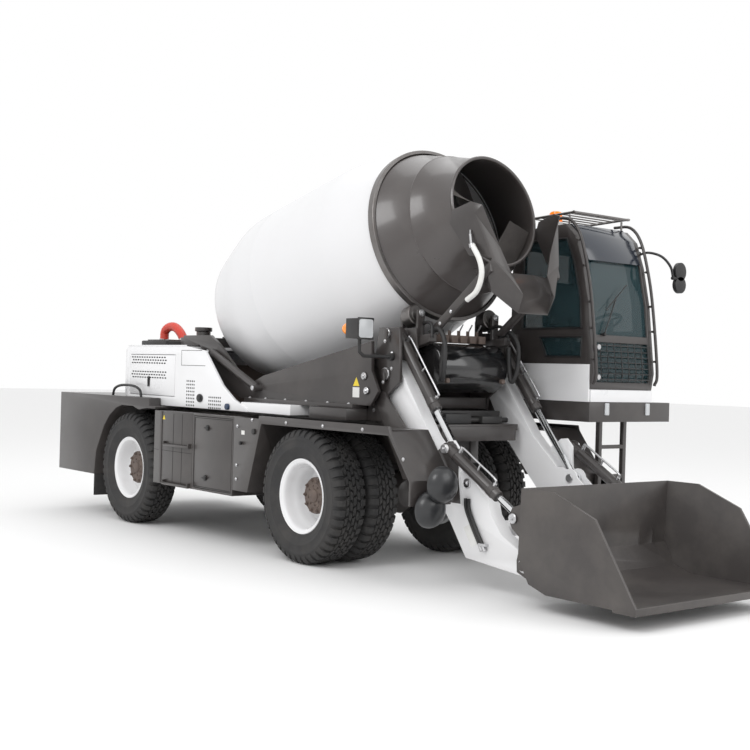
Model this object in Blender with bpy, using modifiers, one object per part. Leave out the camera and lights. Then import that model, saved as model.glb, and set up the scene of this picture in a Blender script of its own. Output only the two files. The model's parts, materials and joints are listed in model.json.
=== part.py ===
"""Self-loading concrete mixer truck, modelled as separate solids with real joints.

Units are metres. Every shape is placed in the machine's own axes: X forward, Y to the
machine's left, Z up, with zero on the ground under the front axle. The root empty then
shifts the whole machine so that its box is centred on the world origin.
"""
import math

import bmesh
import bpy
from mathutils import Matrix, Vector

# ---------------------------------------------------------------- driving dimensions
REAR_END, FRONT_END = -4.47, 3.20          # rear face of the counterweight, bucket lip
RIGHT_SIDE, LEFT_SIDE = -1.06, 1.80        # headlamp housing, mirror edge
WHEELBASE = 2.944
REAR_AXLE_X = -WHEELBASE
TYRE_RADIUS, TYRE_HALF_WIDTH = 0.54, 0.15
AXLE_Z = TYRE_RADIUS
TWIN_MIDDLE_Y, TWIN_OFFSET = 0.726, 0.163  # middle of a twin pair, each tyre off it
REAR_WHEEL_Y, KINGPIN_Y = 0.8775, 0.72
SIDE_Y = 1.03                              # outer face of tanks, boxes and fenders
BOX_INNER_Y = 0.60
BOX_BOTTOM, BOX_TOP = 0.445, 1.13
RAIL_IN, RAIL_OUT, RAIL_BOTTOM, RAIL_TOP = 0.28, 0.36, 0.82, 1.125
DECK_TOP = 1.16

DRUM_TILT = math.radians(13.25)            # the mouth end is the high one
DRUM_RING = Vector((0.449, 0.0, 2.682))    # centre of the roller ring
DRUM_SHEET = 0.008
DRUM_SHELL = [(-2.441, 0.676), (-1.95, 0.827), (-0.504, 0.827), (0.0, 0.695)]
DRUM_MOUTH_S, DRUM_MOUTH_R = 0.655, 0.435
RING_RADIUS, RING_HALF = 0.725, 0.03
ROLLER_RADIUS, ROLLER_HALF, ROLLER_ANGLE = 0.085, 0.05, math.radians(30)

CRADLE_HEAD_TOP = 1.832                    # under the drum's gearbox

ARM_PIVOT = (0.60, 1.537)                  # X and Z of the pins in the side view
LIFT_BASE, LIFT_EYE = (0.61, 1.857), (1.50, 0.764)
TILT_BASE, TILT_PIN = (1.36, 1.006), (2.09, 0.58)
BUCKET_PIVOT = (2.12, 0.255)
ARM_Y, ARM_HALF = 0.545, 0.055
TILT_Y = 0.66
BUCKET_HALF = 0.78

CAB_RIGHT, CAB_LEFT, CAB_WALL = 0.735, 1.51, 0.045
CAB_FLOOR_TOP = 1.46
CAB_PROFILE = [(0.57, 1.4605), (1.462, 1.4605), (1.485, 1.60), (1.42, 2.16), (1.35, 2.48),
               (1.27, 2.70), (1.16, 2.80), (0.66, 2.78), (0.57, 2.68)]

HOOD_REAR, HOOD_HALF, HOOD_TOP, HOOD_SKIN = -3.25, 0.90, 1.74, 0.03
GAP = 0.0004                               # between solids that touch
RUN = 0.006                                # between solids that move past each other
TYRE_SIDES = 28                            # a multiple of four, so that a flat stands down
RIM_SIDES = 16
DRUM_SIDES = 32

# ---------------------------------------------------------------- scene
for old in list(bpy.data.objects):
    bpy.data.objects.remove(old, do_unlink=True)

model = bpy.data.collections.new("concrete_mixer_truck")
bpy.context.scene.collection.children.link(model)


def paint(name, colour, roughness, metallic=0.0):
    """A Principled material with one colour."""
    material = bpy.data.materials.new(name)
    material.use_nodes = True
    shader = material.node_tree.nodes["Principled BSDF"]
    shader.inputs["Base Color"].default_value = (*colour, 1.0)
    shader.inputs["Roughness"].default_value = roughness
    shader.inputs["Metallic"].default_value = metallic
    return material


GREY = paint("dark_grey_paint", (0.075, 0.068, 0.066), 0.45)
WHITE = paint("white_paint", (0.80, 0.81, 0.82), 0.35)
BLACK = paint("black_plastic", (0.015, 0.015, 0.016), 0.5)
RUBBER = paint("tyre_rubber", (0.022, 0.022, 0.024), 0.85)
STEEL = paint("bright_steel", (0.55, 0.56, 0.58), 0.3, 1.0)
CAST = paint("hub_casting", (0.13, 0.10, 0.085), 0.6, 0.3)
GLASS = paint("tinted_glass", (0.10, 0.17, 0.19), 0.08)
SEAT = paint("seat_cover", (0.03, 0.03, 0.032), 0.8)
AMBER = paint("amber_lens", (0.85, 0.33, 0.02), 0.3)


# ---------------------------------------------------------------- shapes
def mesh_object(mesh, matrix=None):
    """A loose object in the model's collection, its matrix written into the mesh."""
    if matrix is not None:
        mesh.transform(matrix)
    body = bmesh.new()
    body.from_mesh(mesh)
    bmesh.ops.remove_doubles(body, verts=body.verts, dist=1e-6)
    bmesh.ops.recalc_face_normals(body, faces=body.faces)
    body.to_mesh(mesh)
    body.free()
    shape = bpy.data.objects.new("shape", mesh)
    model.objects.link(shape)
    return shape


def evaluated(shape):
    """The object's mesh with its modifiers or curve settings worked in."""
    view = bpy.context.evaluated_depsgraph_get()
    return bpy.data.meshes.new_from_object(shape.evaluated_get(view))


def box(low, high):
    """A box between two corners."""
    body = bmesh.new()
    bmesh.ops.create_cube(body, size=1.0)
    mesh = bpy.data.meshes.new("box")
    body.to_mesh(mesh)
    body.free()
    low, high = Vector(low), Vector(high)
    size = high - low
    place = Matrix.Translation((low + high) / 2) @ Matrix.Diagonal((*size, 1.0))
    return mesh_object(mesh, place)


def both(low, high):
    """The same box on the right and on the left of the machine."""
    mirrored = [(low[0], -high[1], low[2]), (high[0], -low[1], high[2])]
    return [box(low, high), box(*mirrored)]


def rod(start, end, radius, sides=12, end_radius=None):
    """A cylinder, or a cone, from one point to another."""
    start, end = Vector(start), Vector(end)
    run = end - start
    body = bmesh.new()
    bmesh.ops.create_cone(body, cap_ends=True, segments=sides, radius1=radius,
                          radius2=radius if end_radius is None else end_radius,
                          depth=run.length)
    mesh = bpy.data.meshes.new("rod")
    body.to_mesh(mesh)
    body.free()
    turn = run.to_track_quat("Z", "Y").to_matrix().to_4x4()
    return mesh_object(mesh, Matrix.Translation((start + end) / 2) @ turn)


AXES = {"X": Matrix(((0, 0, 1, 0), (1, 0, 0, 0), (0, 1, 0, 0), (0, 0, 0, 1))),
        "Y": Matrix(((1, 0, 0, 0), (0, 0, 1, 0), (0, 1, 0, 0), (0, 0, 0, 1))),
        "Z": Matrix.Identity(4)}


def slab(outline, axis, low, high):
    """A flat outline pushed along one axis, from low to high.

    The outline's pairs are (x, z) for axis Y, (y, z) for axis X and (x, y) for axis Z.
    """
    curve = bpy.data.curves.new("outline", "CURVE")
    curve.dimensions = "2D"
    curve.fill_mode = "BOTH"
    curve.extrude = (high - low) / 2
    spline = curve.splines.new("POLY")
    spline.points.add(len(outline) - 1)
    for point, (u, v) in zip(spline.points, outline):
        point.co = (u, v, 0, 1)
    spline.use_cyclic_u = True
    flat = bpy.data.objects.new("outline", curve)
    model.objects.link(flat)
    mesh = evaluated(flat)
    bpy.data.objects.remove(flat)
    bpy.data.curves.remove(curve)
    return mesh_object(mesh, AXES[axis] @ Matrix.Translation((0, 0, (low + high) / 2)))


def both_slabs(outline, low, high):
    """A slab across Y on the left, and its twin on the right."""
    return [slab(outline, "Y", low, high), slab(outline, "Y", -high, -low)]


def pipe(route, radius, sides=2):
    """A round tube or bar along straight runs between points."""
    curve = bpy.data.curves.new("pipe", "CURVE")
    curve.dimensions = "3D"
    curve.bevel_depth = radius
    curve.bevel_resolution = sides
    curve.use_fill_caps = True
    spline = curve.splines.new("POLY")
    spline.points.add(len(route) - 1)
    for point, place in zip(spline.points, route):
        point.co = (*place, 1)
    line = bpy.data.objects.new("pipe", curve)
    model.objects.link(line)
    mesh = evaluated(line)
    bpy.data.objects.remove(line)
    bpy.data.curves.remove(curve)
    return mesh_object(mesh)


def turned(profile, place, sides=24, closed=False):
    """A turned solid: (radius, height) pairs spun about Z, then put in place."""
    mesh = bpy.data.meshes.new("profile")
    count = len(profile)
    edges = [(i, i + 1) for i in range(count - 1)]
    if closed:
        edges.append((count - 1, 0))
    mesh.from_pydata([(r, 0, h) for r, h in profile], edges, [])
    shape = bpy.data.objects.new("turned", mesh)
    model.objects.link(shape)
    screw = shape.modifiers.new("spin", "SCREW")
    screw.axis = "Z"
    screw.steps = screw.render_steps = sides
    screw.use_merge_vertices = True
    screw.merge_threshold = 1e-5
    solid = evaluated(shape)
    bpy.data.objects.remove(shape)
    return mesh_object(solid, place)


def combine(target, tools, operation):
    """Joins the tools to the target, or cuts them from it; the tools are used up."""
    bench = bpy.data.collections.new("bench")
    bpy.context.scene.collection.children.link(bench)
    for tool in tools:
        model.objects.unlink(tool)
        bench.objects.link(tool)
    step = target.modifiers.new(operation, "BOOLEAN")
    step.operation = operation
    step.solver = "EXACT"
    step.operand_type = "COLLECTION"
    step.collection = bench
    step.use_self = True
    bpy.context.view_layer.update()
    mesh = evaluated(target)
    target.modifiers.clear()
    for tool in tools:
        bpy.data.objects.remove(tool)
    bpy.data.collections.remove(bench)
    clean = bmesh.new()
    clean.from_mesh(mesh)
    bmesh.ops.remove_doubles(clean, verts=clean.verts, dist=1e-6)
    bmesh.ops.dissolve_degenerate(clean, edges=clean.edges, dist=1e-6)
    clean.to_mesh(mesh)
    clean.free()
    target.data = mesh
    return target


def moved(shape, matrix):
    """The same shape after a turn or a shift."""
    shape.data.transform(matrix)
    return shape


def turned_about(shape, point, degrees, axis):
    """The same shape turned about a line through a point."""
    there, back = Matrix.Translation(point), Matrix.Translation(-Vector(point))
    return moved(shape, there @ Matrix.Rotation(math.radians(degrees), 4, axis) @ back)


def arc(centre, radius, first, last, steps):
    """Points on an arc, from one angle in degrees to another."""
    return [(centre[0] + radius * math.cos(math.radians(first + (last - first) * i / steps)),
             centre[1] + radius * math.sin(math.radians(first + (last - first) * i / steps)))
            for i in range(steps + 1)]


# ---------------------------------------------------------------- the assembly
root = bpy.data.objects.new("mixer_truck_frame", None)
root.location = (-(REAR_END + FRONT_END) / 2, -(RIGHT_SIDE + LEFT_SIDE) / 2, 0)
model.objects.link(root)


def pivot(name, place, parent=None):
    """An empty on a joint's axis; what moves about it hangs from it."""
    empty = bpy.data.objects.new(name, None)
    model.objects.link(empty)
    empty.parent = parent or root
    empty["place"] = list(place)
    base = Vector(parent["place"]) if parent else Vector((0, 0, 0))
    empty.location = Vector(place) - base
    return empty


def part(name, shapes, material, holder=None, cuts=()):
    """Joins shapes into one named piece, cuts it, and hangs it from its holder."""
    piece = shapes[0]
    if len(shapes) > 1:
        combine(piece, shapes[1:], "UNION")
    if cuts:
        combine(piece, list(cuts), "DIFFERENCE")
    piece.name = piece.data.name = name
    piece.data.materials.clear()
    piece.data.materials.append(material)
    piece.data.shade_smooth()
    piece.data.set_sharp_from_angle(angle=math.radians(32))
    piece.parent = holder or root
    if holder:
        piece.data.transform(Matrix.Translation(-Vector(holder["place"])))
    return piece


SIDES = (("right", -1), ("left", 1))


def chassis():
    """Two rails, cross members, deck, and the block that the cradle stands on."""
    rails = both((-3.74, RAIL_IN, RAIL_BOTTOM), (0.60, RAIL_OUT, RAIL_TOP))
    crosses = [box((x, -0.30, 0.84), (x + 0.10, 0.30, 1.0))
               for x in (-3.70, -2.15, -1.20, -0.35, 0.48)]
    saddle = box((REAR_AXLE_X - 0.12, -0.34, 0.70), (REAR_AXLE_X + 0.12, 0.34, 0.819))
    saddle_ends = both((REAR_AXLE_X - 0.12, 0.285, 0.71), (REAR_AXLE_X + 0.12, 0.355, 0.90))
    outriggers = [box((x, -0.595, 0.92), (x + 0.10, 0.595, 1.0)) for x in (-2.08, -1.15)]
    deck = box((-2.12, -0.595, 1.12), (0.30, 0.595, DECK_TOP))
    nose = box((0.2, -0.45, 1.11), (0.96, 0.45, DECK_TOP - 0.001))
    bearer = box((-0.12, -0.86, DECK_TOP + 0.006), (0.375, 0.86, 1.255))
    bearer_core = box((-0.12, -0.5, 1.13), (0.375, 0.5, 1.25))
    hood_bearers = [box((x, -0.58, 1.09), (x + 0.08, 0.58, 1.165)) for x in (-3.23, -2.12)]
    bumper = box((0.94, -0.40, 1.03), (0.99, 0.40, 1.14))
    part("chassis_frame", rails + crosses + [saddle] + saddle_ends + outriggers
         + [deck, nose, bearer, bearer_core, bumper] + hood_bearers, GREY)


def axles():
    """The fixed driving axle in front and the steered one behind."""
    tube = rod((0, -0.61, AXLE_Z), (0, 0.61, AXLE_Z), 0.095, 20)
    bulb = turned([(0.0, 0.17), (0.12, 0.15), (0.18, 0.05), (0.18, -0.05), (0.12, -0.15),
                   (0.0, -0.17)], Matrix.Translation((0, 0, AXLE_Z)) @ AXES["X"], 16)
    mounts = both((-0.09, 0.285, AXLE_Z), (0.09, 0.355, RAIL_BOTTOM - GAP))
    part("front_axle", [tube, bulb] + mounts, GREY)

    beam = rod((REAR_AXLE_X, -0.64, AXLE_Z), (REAR_AXLE_X, 0.64, AXLE_Z), 0.075, 20)
    housing = turned([(0.0, 0.15), (0.09, 0.14), (0.14, 0.05), (0.14, -0.05), (0.09, -0.14),
                      (0.0, -0.15)],
                     Matrix.Translation((REAR_AXLE_X, 0, AXLE_Z)) @ AXES["X"], 16)
    trunnion = box((REAR_AXLE_X - 0.1, -0.1, AXLE_Z), (REAR_AXLE_X + 0.1, 0.1, 0.70 - GAP))
    forks = []
    for _, side in SIDES:
        for low in (-0.165, 0.135):
            forks.append(rod((REAR_AXLE_X, side * KINGPIN_Y, AXLE_Z + low),
                             (REAR_AXLE_X, side * KINGPIN_Y, AXLE_Z + low + 0.03), 0.044))
            edges = sorted((side * 0.60, side * KINGPIN_Y))
            forks.append(box((REAR_AXLE_X - 0.04, edges[0], AXLE_Z + low),
                             (REAR_AXLE_X + 0.04, edges[1], AXLE_Z + low + 0.03)))
        edges = sorted((side * 0.60, side * 0.64))
        forks.append(box((REAR_AXLE_X - 0.045, edges[0], AXLE_Z - 0.165),
                         (REAR_AXLE_X + 0.045, edges[1], AXLE_Z + 0.165)))
    part("rear_axle", [beam, housing, trunnion] + forks, GREY)


def tyre(name, y, holder, x):
    """A tyre as a plain solid of revolution; its bead sits between the rim's flanges."""
    half = [(0.2838, 0.0935), (0.3035, 0.0965), (0.3035, 0.118), (0.37, TYRE_HALF_WIDTH),
            (0.49, 0.147), (TYRE_RADIUS, 0.115)]
    step = math.pi / TYRE_SIDES
    profile = [(r / math.cos(step), h) for r, h in half]
    profile += [(r, -h) for r, h in reversed(profile)]
    place = Matrix.Translation((x, y, AXLE_Z)) @ AXES["Y"] @ Matrix.Rotation(step, 4, "Z")
    part(name, [turned(profile, place, TYRE_SIDES, True)], RUBBER, holder)


def front_wheels():
    """Twin wheels each side: two deep rims back to back on one hub."""
    barrel = [(0.24, 0.02), (0.268, 0.27), (0.302, 0.278), (0.302, 0.264), (0.283, 0.258),
              (0.283, 0.066), (0.302, 0.060), (0.302, 0.048), (0.25, 0.044)]
    outer_hub = [(0.0, 0.15), (0.085, 0.15), (0.115, 0.11), (0.115, 0.02)]
    inner_hub = [(0.16, -0.02), (0.16, -0.09), (0.0, -0.095)]
    profile = (outer_hub + barrel + [(r, -h) for r, h in reversed(barrel)] + inner_hub)
    for name, side in SIDES:
        hub = pivot("front_wheel_axis_" + name, (0, side * TWIN_MIDDLE_Y, AXLE_Z))
        facing = AXES["Y"] if side > 0 else AXES["Y"] @ Matrix.Diagonal((1, 1, -1, 1))
        place = Matrix.Translation((0, side * TWIN_MIDDLE_Y, AXLE_Z)) @ facing
        part("front_rims_" + name, [turned(profile, place, RIM_SIDES)], WHITE, hub)
        tyre("front_outer_tyre_" + name, side * (TWIN_MIDDLE_Y + TWIN_OFFSET), hub, 0)
        tyre("front_inner_tyre_" + name, side * (TWIN_MIDDLE_Y - TWIN_OFFSET), hub, 0)


def rear_wheels():
    """Single steered wheels, each on a knuckle that turns on its kingpin."""
    profile = [(0.0, 0.03), (0.10, 0.03), (0.135, -0.01), (0.135, -0.065), (0.24, -0.07),
               (0.268, 0.107), (0.302, 0.115), (0.302, 0.101), (0.283, 0.095), (0.283, -0.095),
               (0.302, -0.101), (0.302, -0.115), (0.262, -0.105), (0.235, -0.09), (0.0, -0.09)]
    for name, side in SIDES:
        king = (REAR_AXLE_X, side * KINGPIN_Y, AXLE_Z)
        steer = pivot("kingpin_" + name, king)
        post = rod((king[0], king[1], AXLE_Z - 0.129), (king[0], king[1], AXLE_Z + 0.129), 0.055)
        stub = rod(king, (king[0], side * (REAR_WHEEL_Y - 0.096), AXLE_Z), 0.045)
        part("steering_knuckle_" + name, [post, stub], CAST, steer)
        centre = (REAR_AXLE_X, side * REAR_WHEEL_Y, AXLE_Z)
        hub = pivot("rear_wheel_axis_" + name, centre, steer)
        facing = AXES["Y"] if side > 0 else AXES["Y"] @ Matrix.Diagonal((1, 1, -1, 1))
        part("rear_rim_" + name, [turned(profile, Matrix.Translation(centre) @ facing, RIM_SIDES)],
             WHITE, hub)
        tyre("rear_tyre_" + name, side * REAR_WHEEL_Y, hub, REAR_AXLE_X)


def rear_body():
    """Engine, its hood with two side doors, and the counterweight with its fenders."""
    part("engine_block", [box((-3.08, -0.27, 0.83), (-2.28, 0.27, 1.58))], CAST)

    side_view = [(HOOD_REAR, 1.17), (HOOD_REAR, 1.70), (HOOD_REAR + 0.05, HOOD_TOP),
                 (-2.05, HOOD_TOP), (-1.72, 1.70), (-1.40, 1.39), (-1.20, 1.27), (-0.98, 1.20),
                 (-0.98, 1.17)]
    shell = slab(side_view, "Y", -HOOD_HALF, HOOD_HALF)
    front_cover = box((-1.10, -0.89, 1.17), (-0.35, 0.89, 1.255))
    room = box((HOOD_REAR + HOOD_SKIN, -HOOD_HALF + HOOD_SKIN, 1.0),
               (-0.9, HOOD_HALF - HOOD_SKIN, HOOD_TOP - HOOD_SKIN))
    open_top = box((-2.12, -HOOD_HALF + HOOD_SKIN, 1.0), (-0.9, HOOD_HALF - HOOD_SKIN, 2.0))
    doorways = both((-3.15, HOOD_HALF - 0.06, 1.26), (-2.25, HOOD_HALF + 0.06, 1.66))
    hood = combine(shell, [room, open_top], "DIFFERENCE")
    part("engine_hood", [hood, front_cover], WHITE, cuts=doorways)
    for name, side in SIDES:
        hinge = pivot("hood_hinge_" + name, (-2.70, side * HOOD_HALF, 1.66))
        edges = sorted((side * (HOOD_HALF - HOOD_SKIN), side * HOOD_HALF))
        part("hood_door_" + name, [box((-3.145, edges[0], 1.265), (-2.255, edges[1], 1.655))],
             WHITE, hinge)

    arch = ([(REAR_END, 0.42), (-3.63, 0.42), (-3.60, 0.66)]
            + arc((REAR_AXLE_X, AXLE_Z), 0.625, 142, 68, 5)
            + [(-2.56, 1.14), (-2.38, 1.14), (-2.38, 1.165), (REAR_END, 1.165)])
    fenders = both_slabs(arch, 0.66, SIDE_Y)
    block = box((REAR_END, -SIDE_Y + 0.01, 0.42), (-3.76, SIDE_Y - 0.01, 1.16))
    cap = box((REAR_END, -SIDE_Y, 1.13), (HOOD_REAR - 0.02, SIDE_Y, 1.24))
    ledges = both((-3.70, 0.905, 1.15), (-2.50, SIDE_Y, 1.24))
    part("counterweight", [block, cap] + fenders + ledges, GREY)


def side_boxes():
    """Tank and toolbox on the right, one long tank on the left, their corners cut back."""
    def plan(rear, front, side):
        corners = [(rear, SIDE_Y), (rear + 0.09, 0.78), (rear + 0.09, BOX_INNER_Y),
                   (front, BOX_INNER_Y), (front, SIDE_Y)]
        return [(x, side * y) for x, y in corners]

    part("fuel_tank", [slab(plan(-2.38, -1.672, -1), "Z", BOX_BOTTOM, BOX_TOP)], GREY)
    part("left_tank", [slab(plan(-2.38, -0.985, 1), "Z", BOX_BOTTOM, BOX_TOP)], GREY)

    rear, front, sheet = -1.668, -0.985, 0.012
    outer = box((rear, -SIDE_Y, BOX_BOTTOM), (front, -BOX_INNER_Y, BOX_TOP))
    room = box((rear + 0.02, -SIDE_Y - 0.1, BOX_BOTTOM + 0.02),
               (front - 0.02, -BOX_INNER_Y - sheet, BOX_TOP - 0.02))
    part("toolbox", [outer], GREY, cuts=[room])
    hinge = pivot("toolbox_hinge", (front - 0.02, -SIDE_Y, 0.79))
    part("toolbox_door", [box((rear + 0.024, -SIDE_Y, BOX_BOTTOM + 0.024),
                              (front - 0.026, -SIDE_Y + 0.02, BOX_TOP - 0.024))],
         GREY, hinge)


def mudguards():
    """Bent plates over the twin wheels, with an apron in front and a skirt behind."""
    outside = [(-0.77, 0.50), (-0.57, 1.13), (1.10, 1.13), (1.37, 0.78), (1.37, 0.60)]
    inside = [(1.35, 0.60), (1.35, 0.773), (1.091, 1.11), (-0.555, 1.11), (-0.749, 0.50)]
    skirt = [(-0.98, 0.50), (-0.76, 0.50), (-0.56, 1.13), (-0.98, 1.13)]
    for name, side in SIDES:
        low, high = sorted((side * 0.64, side * SIDE_Y))
        plate = slab(outside + inside, "Y", low, high)
        edges = sorted((side * (SIDE_Y - 0.03), side * SIDE_Y))
        panel = slab(skirt, "Y", *edges)
        lip = slab([(-0.60, 1.09), (1.12, 1.09), (1.10, 1.155), (-0.60, 1.155)], "Y", *edges)
        shapes = [plate, panel, lip]
        if side < 0:
            for x, y, z in ((1.50, -0.84, 0.76), (1.42, -0.88, 0.575)):
                shapes.append(rod((1.345, y, z - 0.02), (x, y, z - 0.01), 0.02, 10))
                dome = Matrix.Translation((x, y, z)) @ Matrix.Rotation(math.pi / 2, 4, "Y")
                shapes.append(turned([(0.0, 0.075), (0.07, 0.066), (0.115, 0.035), (0.13, -0.01),
                                      (0.13, -0.02), (0.0, -0.02)], dome, 20))
        part("front_mudguard_" + name, shapes, BLACK)


def tower_and_cradle():
    """Towers that carry the loading arms, the tank between them, and the drum's cradle."""
    outline = [(0.38, 1.165), (0.56, 1.165), (0.60, 1.36), (0.76, 1.48), (0.74, 1.90),
               (0.50, 1.90), (0.44, 1.60), (0.38, 1.50)]
    inner = both_slabs(outline, 0.455, 0.478)
    outer = both_slabs(outline, 0.62, 0.65)
    webs = both((0.38, 0.46, 1.165), (0.42, 0.64, 1.60))
    tie = box((0.50, -0.47, 1.27), (0.58, 0.47, 1.36))
    pins = []
    for _, side in SIDES:
        for (x, z), radius in ((ARM_PIVOT, 0.045), (LIFT_BASE, 0.032)):
            pins.append(rod((x, side * 0.45, z), (x, side * 0.675, z), radius))
    part("lift_tower", inner + outer + webs + [tie] + pins, GREY)

    tank = [(0.60, 1.42)] + arc((0.72, 1.60), 0.20, -75, 75, 8) + [(0.60, 1.78), (0.50, 1.70),
                                                                  (0.50, 1.50)]
    part("front_tank", [slab(tank, "Y", -0.36, 0.36)], BLACK)

    plate = [(-1.21, 1.285), (0.51, 1.285), (0.60, 1.40), (0.51, 1.56), (0.50, 1.79),
             (-1.00, 1.49), (-1.25, 1.40), (-1.74, 1.76), (-1.91, 1.85), (-2.40, 1.85),
             (-2.40, 1.78), (-2.10, 1.76), (-2.0, 1.66), (-1.84, 1.56), (-1.67, 1.39),
             (-1.36, 1.285)]
    plates = both_slabs(plate, 0.70, 0.73)
    flanges = both((-1.21, 0.64, 1.2565), (0.355, 0.79, 1.29))
    head = box((-2.45, -0.73, 1.752), (-2.12, 0.73, CRADLE_HEAD_TOP))
    beam = box((0.18, -0.71, 1.56), (0.34, 0.71, 1.70))
    rear_beam = box((-1.20, -0.71, 1.26), (-1.02, 0.71, 1.34))
    foot = box((0.10, -0.60, 1.257), (0.30, 0.60, 1.60))
    braces = []
    for _, side in SIDES:
        y = side * 0.775
        ends = ((-1.80, 1.69), (-1.03, 1.38))
        braces.append(rod((ends[0][0], y, ends[0][1]), (ends[1][0], y, ends[1][1]), 0.036))
        for x, z in ends:
            braces.append(rod((x, side * 0.71, z), (x, side * 0.82, z), 0.028, 12))
        bracket = [(0.20, 1.62), (0.86, 1.80), (0.86, 1.86), (0.40, 1.80), (0.20, 1.69)]
        inner_y, outer_y = sorted((side * 0.37, side * 0.44))
        braces.append(slab(bracket, "Y", inner_y, outer_y))
        centre, axis = roller_place(side)
        for offset in (-ROLLER_HALF - 0.045, ROLLER_HALF + 0.045):
            lug = centre + axis * offset
            braces.append(box((lug.x - 0.012, inner_y, 1.78), (lug.x + 0.012, outer_y, lug.z + 0.02)))
        braces.append(rod(centre - axis * (ROLLER_HALF + 0.05), centre + axis * (ROLLER_HALF + 0.05),
                          0.018, 12))
    part("drum_cradle", [plates[0], head, plates[1], beam, rear_beam, foot] + flanges + braces,
         GREY)


def drum_axis():
    """Unit vector along the drum, towards its mouth."""
    return Vector((math.cos(DRUM_TILT), 0, math.sin(DRUM_TILT)))


def drum_place():
    """Frame of the drum: Z along its axis, zero at the roller ring."""
    return Matrix.Translation(DRUM_RING) @ Matrix.Rotation(math.pi / 2 - DRUM_TILT, 4, "Y")


def roller_place(side):
    """Centre of a support roller, and the direction of its axle."""
    reach = RING_RADIUS + ROLLER_RADIUS
    up = Vector((-math.sin(DRUM_TILT), 0, math.cos(DRUM_TILT)))
    offset = Vector((0, side * math.sin(ROLLER_ANGLE), 0)) - up * math.cos(ROLLER_ANGLE)
    return DRUM_RING + offset * reach, drum_axis()


def drum():
    """Shell with its roller ring, grey mouth cone, two spiral blades, rollers, gearbox."""
    spin = pivot("drum_axis", DRUM_RING)
    t = DRUM_SHEET
    shell = [(s, r) for s, r in DRUM_SHELL]
    outside = [(0.0, -2.56), (0.25, -2.545), (0.50, -2.50)] + [(r, s) for s, r in shell]
    inside = [(r - t, s) for s, r in reversed(shell)] + [(0.50 - t, -2.49), (0.25, -2.535),
                                                         (0.0, -2.55)]
    ring = [(0.698, -RING_HALF), (RING_RADIUS, -RING_HALF), (RING_RADIUS, RING_HALF),
            (0.698, RING_HALF)]
    part("drum_body", [turned(outside + inside, drum_place(), DRUM_SIDES),
                       turned(ring, drum_place(), DRUM_SIDES, True)], WHITE, spin)
    cone = [(0.695, GAP), (DRUM_MOUTH_R, DRUM_MOUTH_S - 0.03), (DRUM_MOUTH_R + 0.012, DRUM_MOUTH_S),
            (DRUM_MOUTH_R - 0.012, DRUM_MOUTH_S), (DRUM_MOUTH_R - t, DRUM_MOUTH_S - 0.03),
            (0.695 - t, GAP)]
    part("drum_mouth_cone", [turned(cone, drum_place(), DRUM_SIDES, True)], GREY, spin)
    for number, start in enumerate((-1.22, math.pi - 1.22)):
        part("drum_blade_%d" % (number + 1), [blade(start)], GREY, spin)
    for name, side in SIDES:
        centre, axis = roller_place(side)
        axle = pivot("roller_axis_" + name, centre)
        place = Matrix.Translation(centre) @ Matrix.Rotation(math.pi / 2 - DRUM_TILT, 4, "Y")
        wheel = [(0.0185, -ROLLER_HALF), (ROLLER_RADIUS - GAP, -ROLLER_HALF),
                 (ROLLER_RADIUS - GAP, ROLLER_HALF), (0.0185, ROLLER_HALF)]
        part("drum_roller_" + name, [turned(wheel, place, 24, True)], STEEL, axle)

    place = Matrix.Translation(DRUM_RING) @ Matrix.Rotation(math.pi / 2 - DRUM_TILT, 4, "Y")
    gears = [(0.0, -2.567), (0.16, -2.567), (0.22, -2.60), (0.22, -2.74), (0.13, -2.78),
             (0.11, -2.95), (0.0, -2.95)]
    foot = box((-2.36, -0.24, CRADLE_HEAD_TOP + GAP), (-2.18, 0.24, 2.0))
    part("drum_gearbox", [turned(gears, place, 24), foot], CAST)


def blade(start):
    """One spiral blade inside the drum, a strip that keeps just off the shell."""
    turns, steps, first, last = 1.4, 32, -2.30, DRUM_MOUTH_S - 0.06
    shell = DRUM_SHELL + [(DRUM_MOUTH_S - 0.03, DRUM_MOUTH_R)]

    def radius(s):
        for (s0, r0), (s1, r1) in zip(shell, shell[1:]):
            if s <= s1:
                return r0 + (r1 - r0) * (s - s0) / (s1 - s0)
        return shell[-1][1]

    place = drum_place()
    rim, edge = [], []
    for i in range(steps + 1):
        s = first + (last - first) * i / steps
        angle = start + 2 * math.pi * turns * i / steps
        outer = radius(s) - 0.020
        inner = outer - 0.24
        lean = 0.03
        rim.append((outer * math.cos(angle), outer * math.sin(angle), s))
        edge.append((inner * math.cos(angle), inner * math.sin(angle), s + lean))
    mesh = bpy.data.meshes.new("blade")
    faces = [(i, i + 1, steps + 2 + i, steps + 1 + i) for i in range(steps)]
    mesh.from_pydata(rim + edge, [], faces)
    strip = bpy.data.objects.new("blade", mesh)
    model.objects.link(strip)
    solidify = strip.modifiers.new("sheet", "SOLIDIFY")
    solidify.thickness = 0.006
    solidify.offset = 0.0
    solid = evaluated(strip)
    bpy.data.objects.remove(strip)
    return mesh_object(solid, place)


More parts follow.
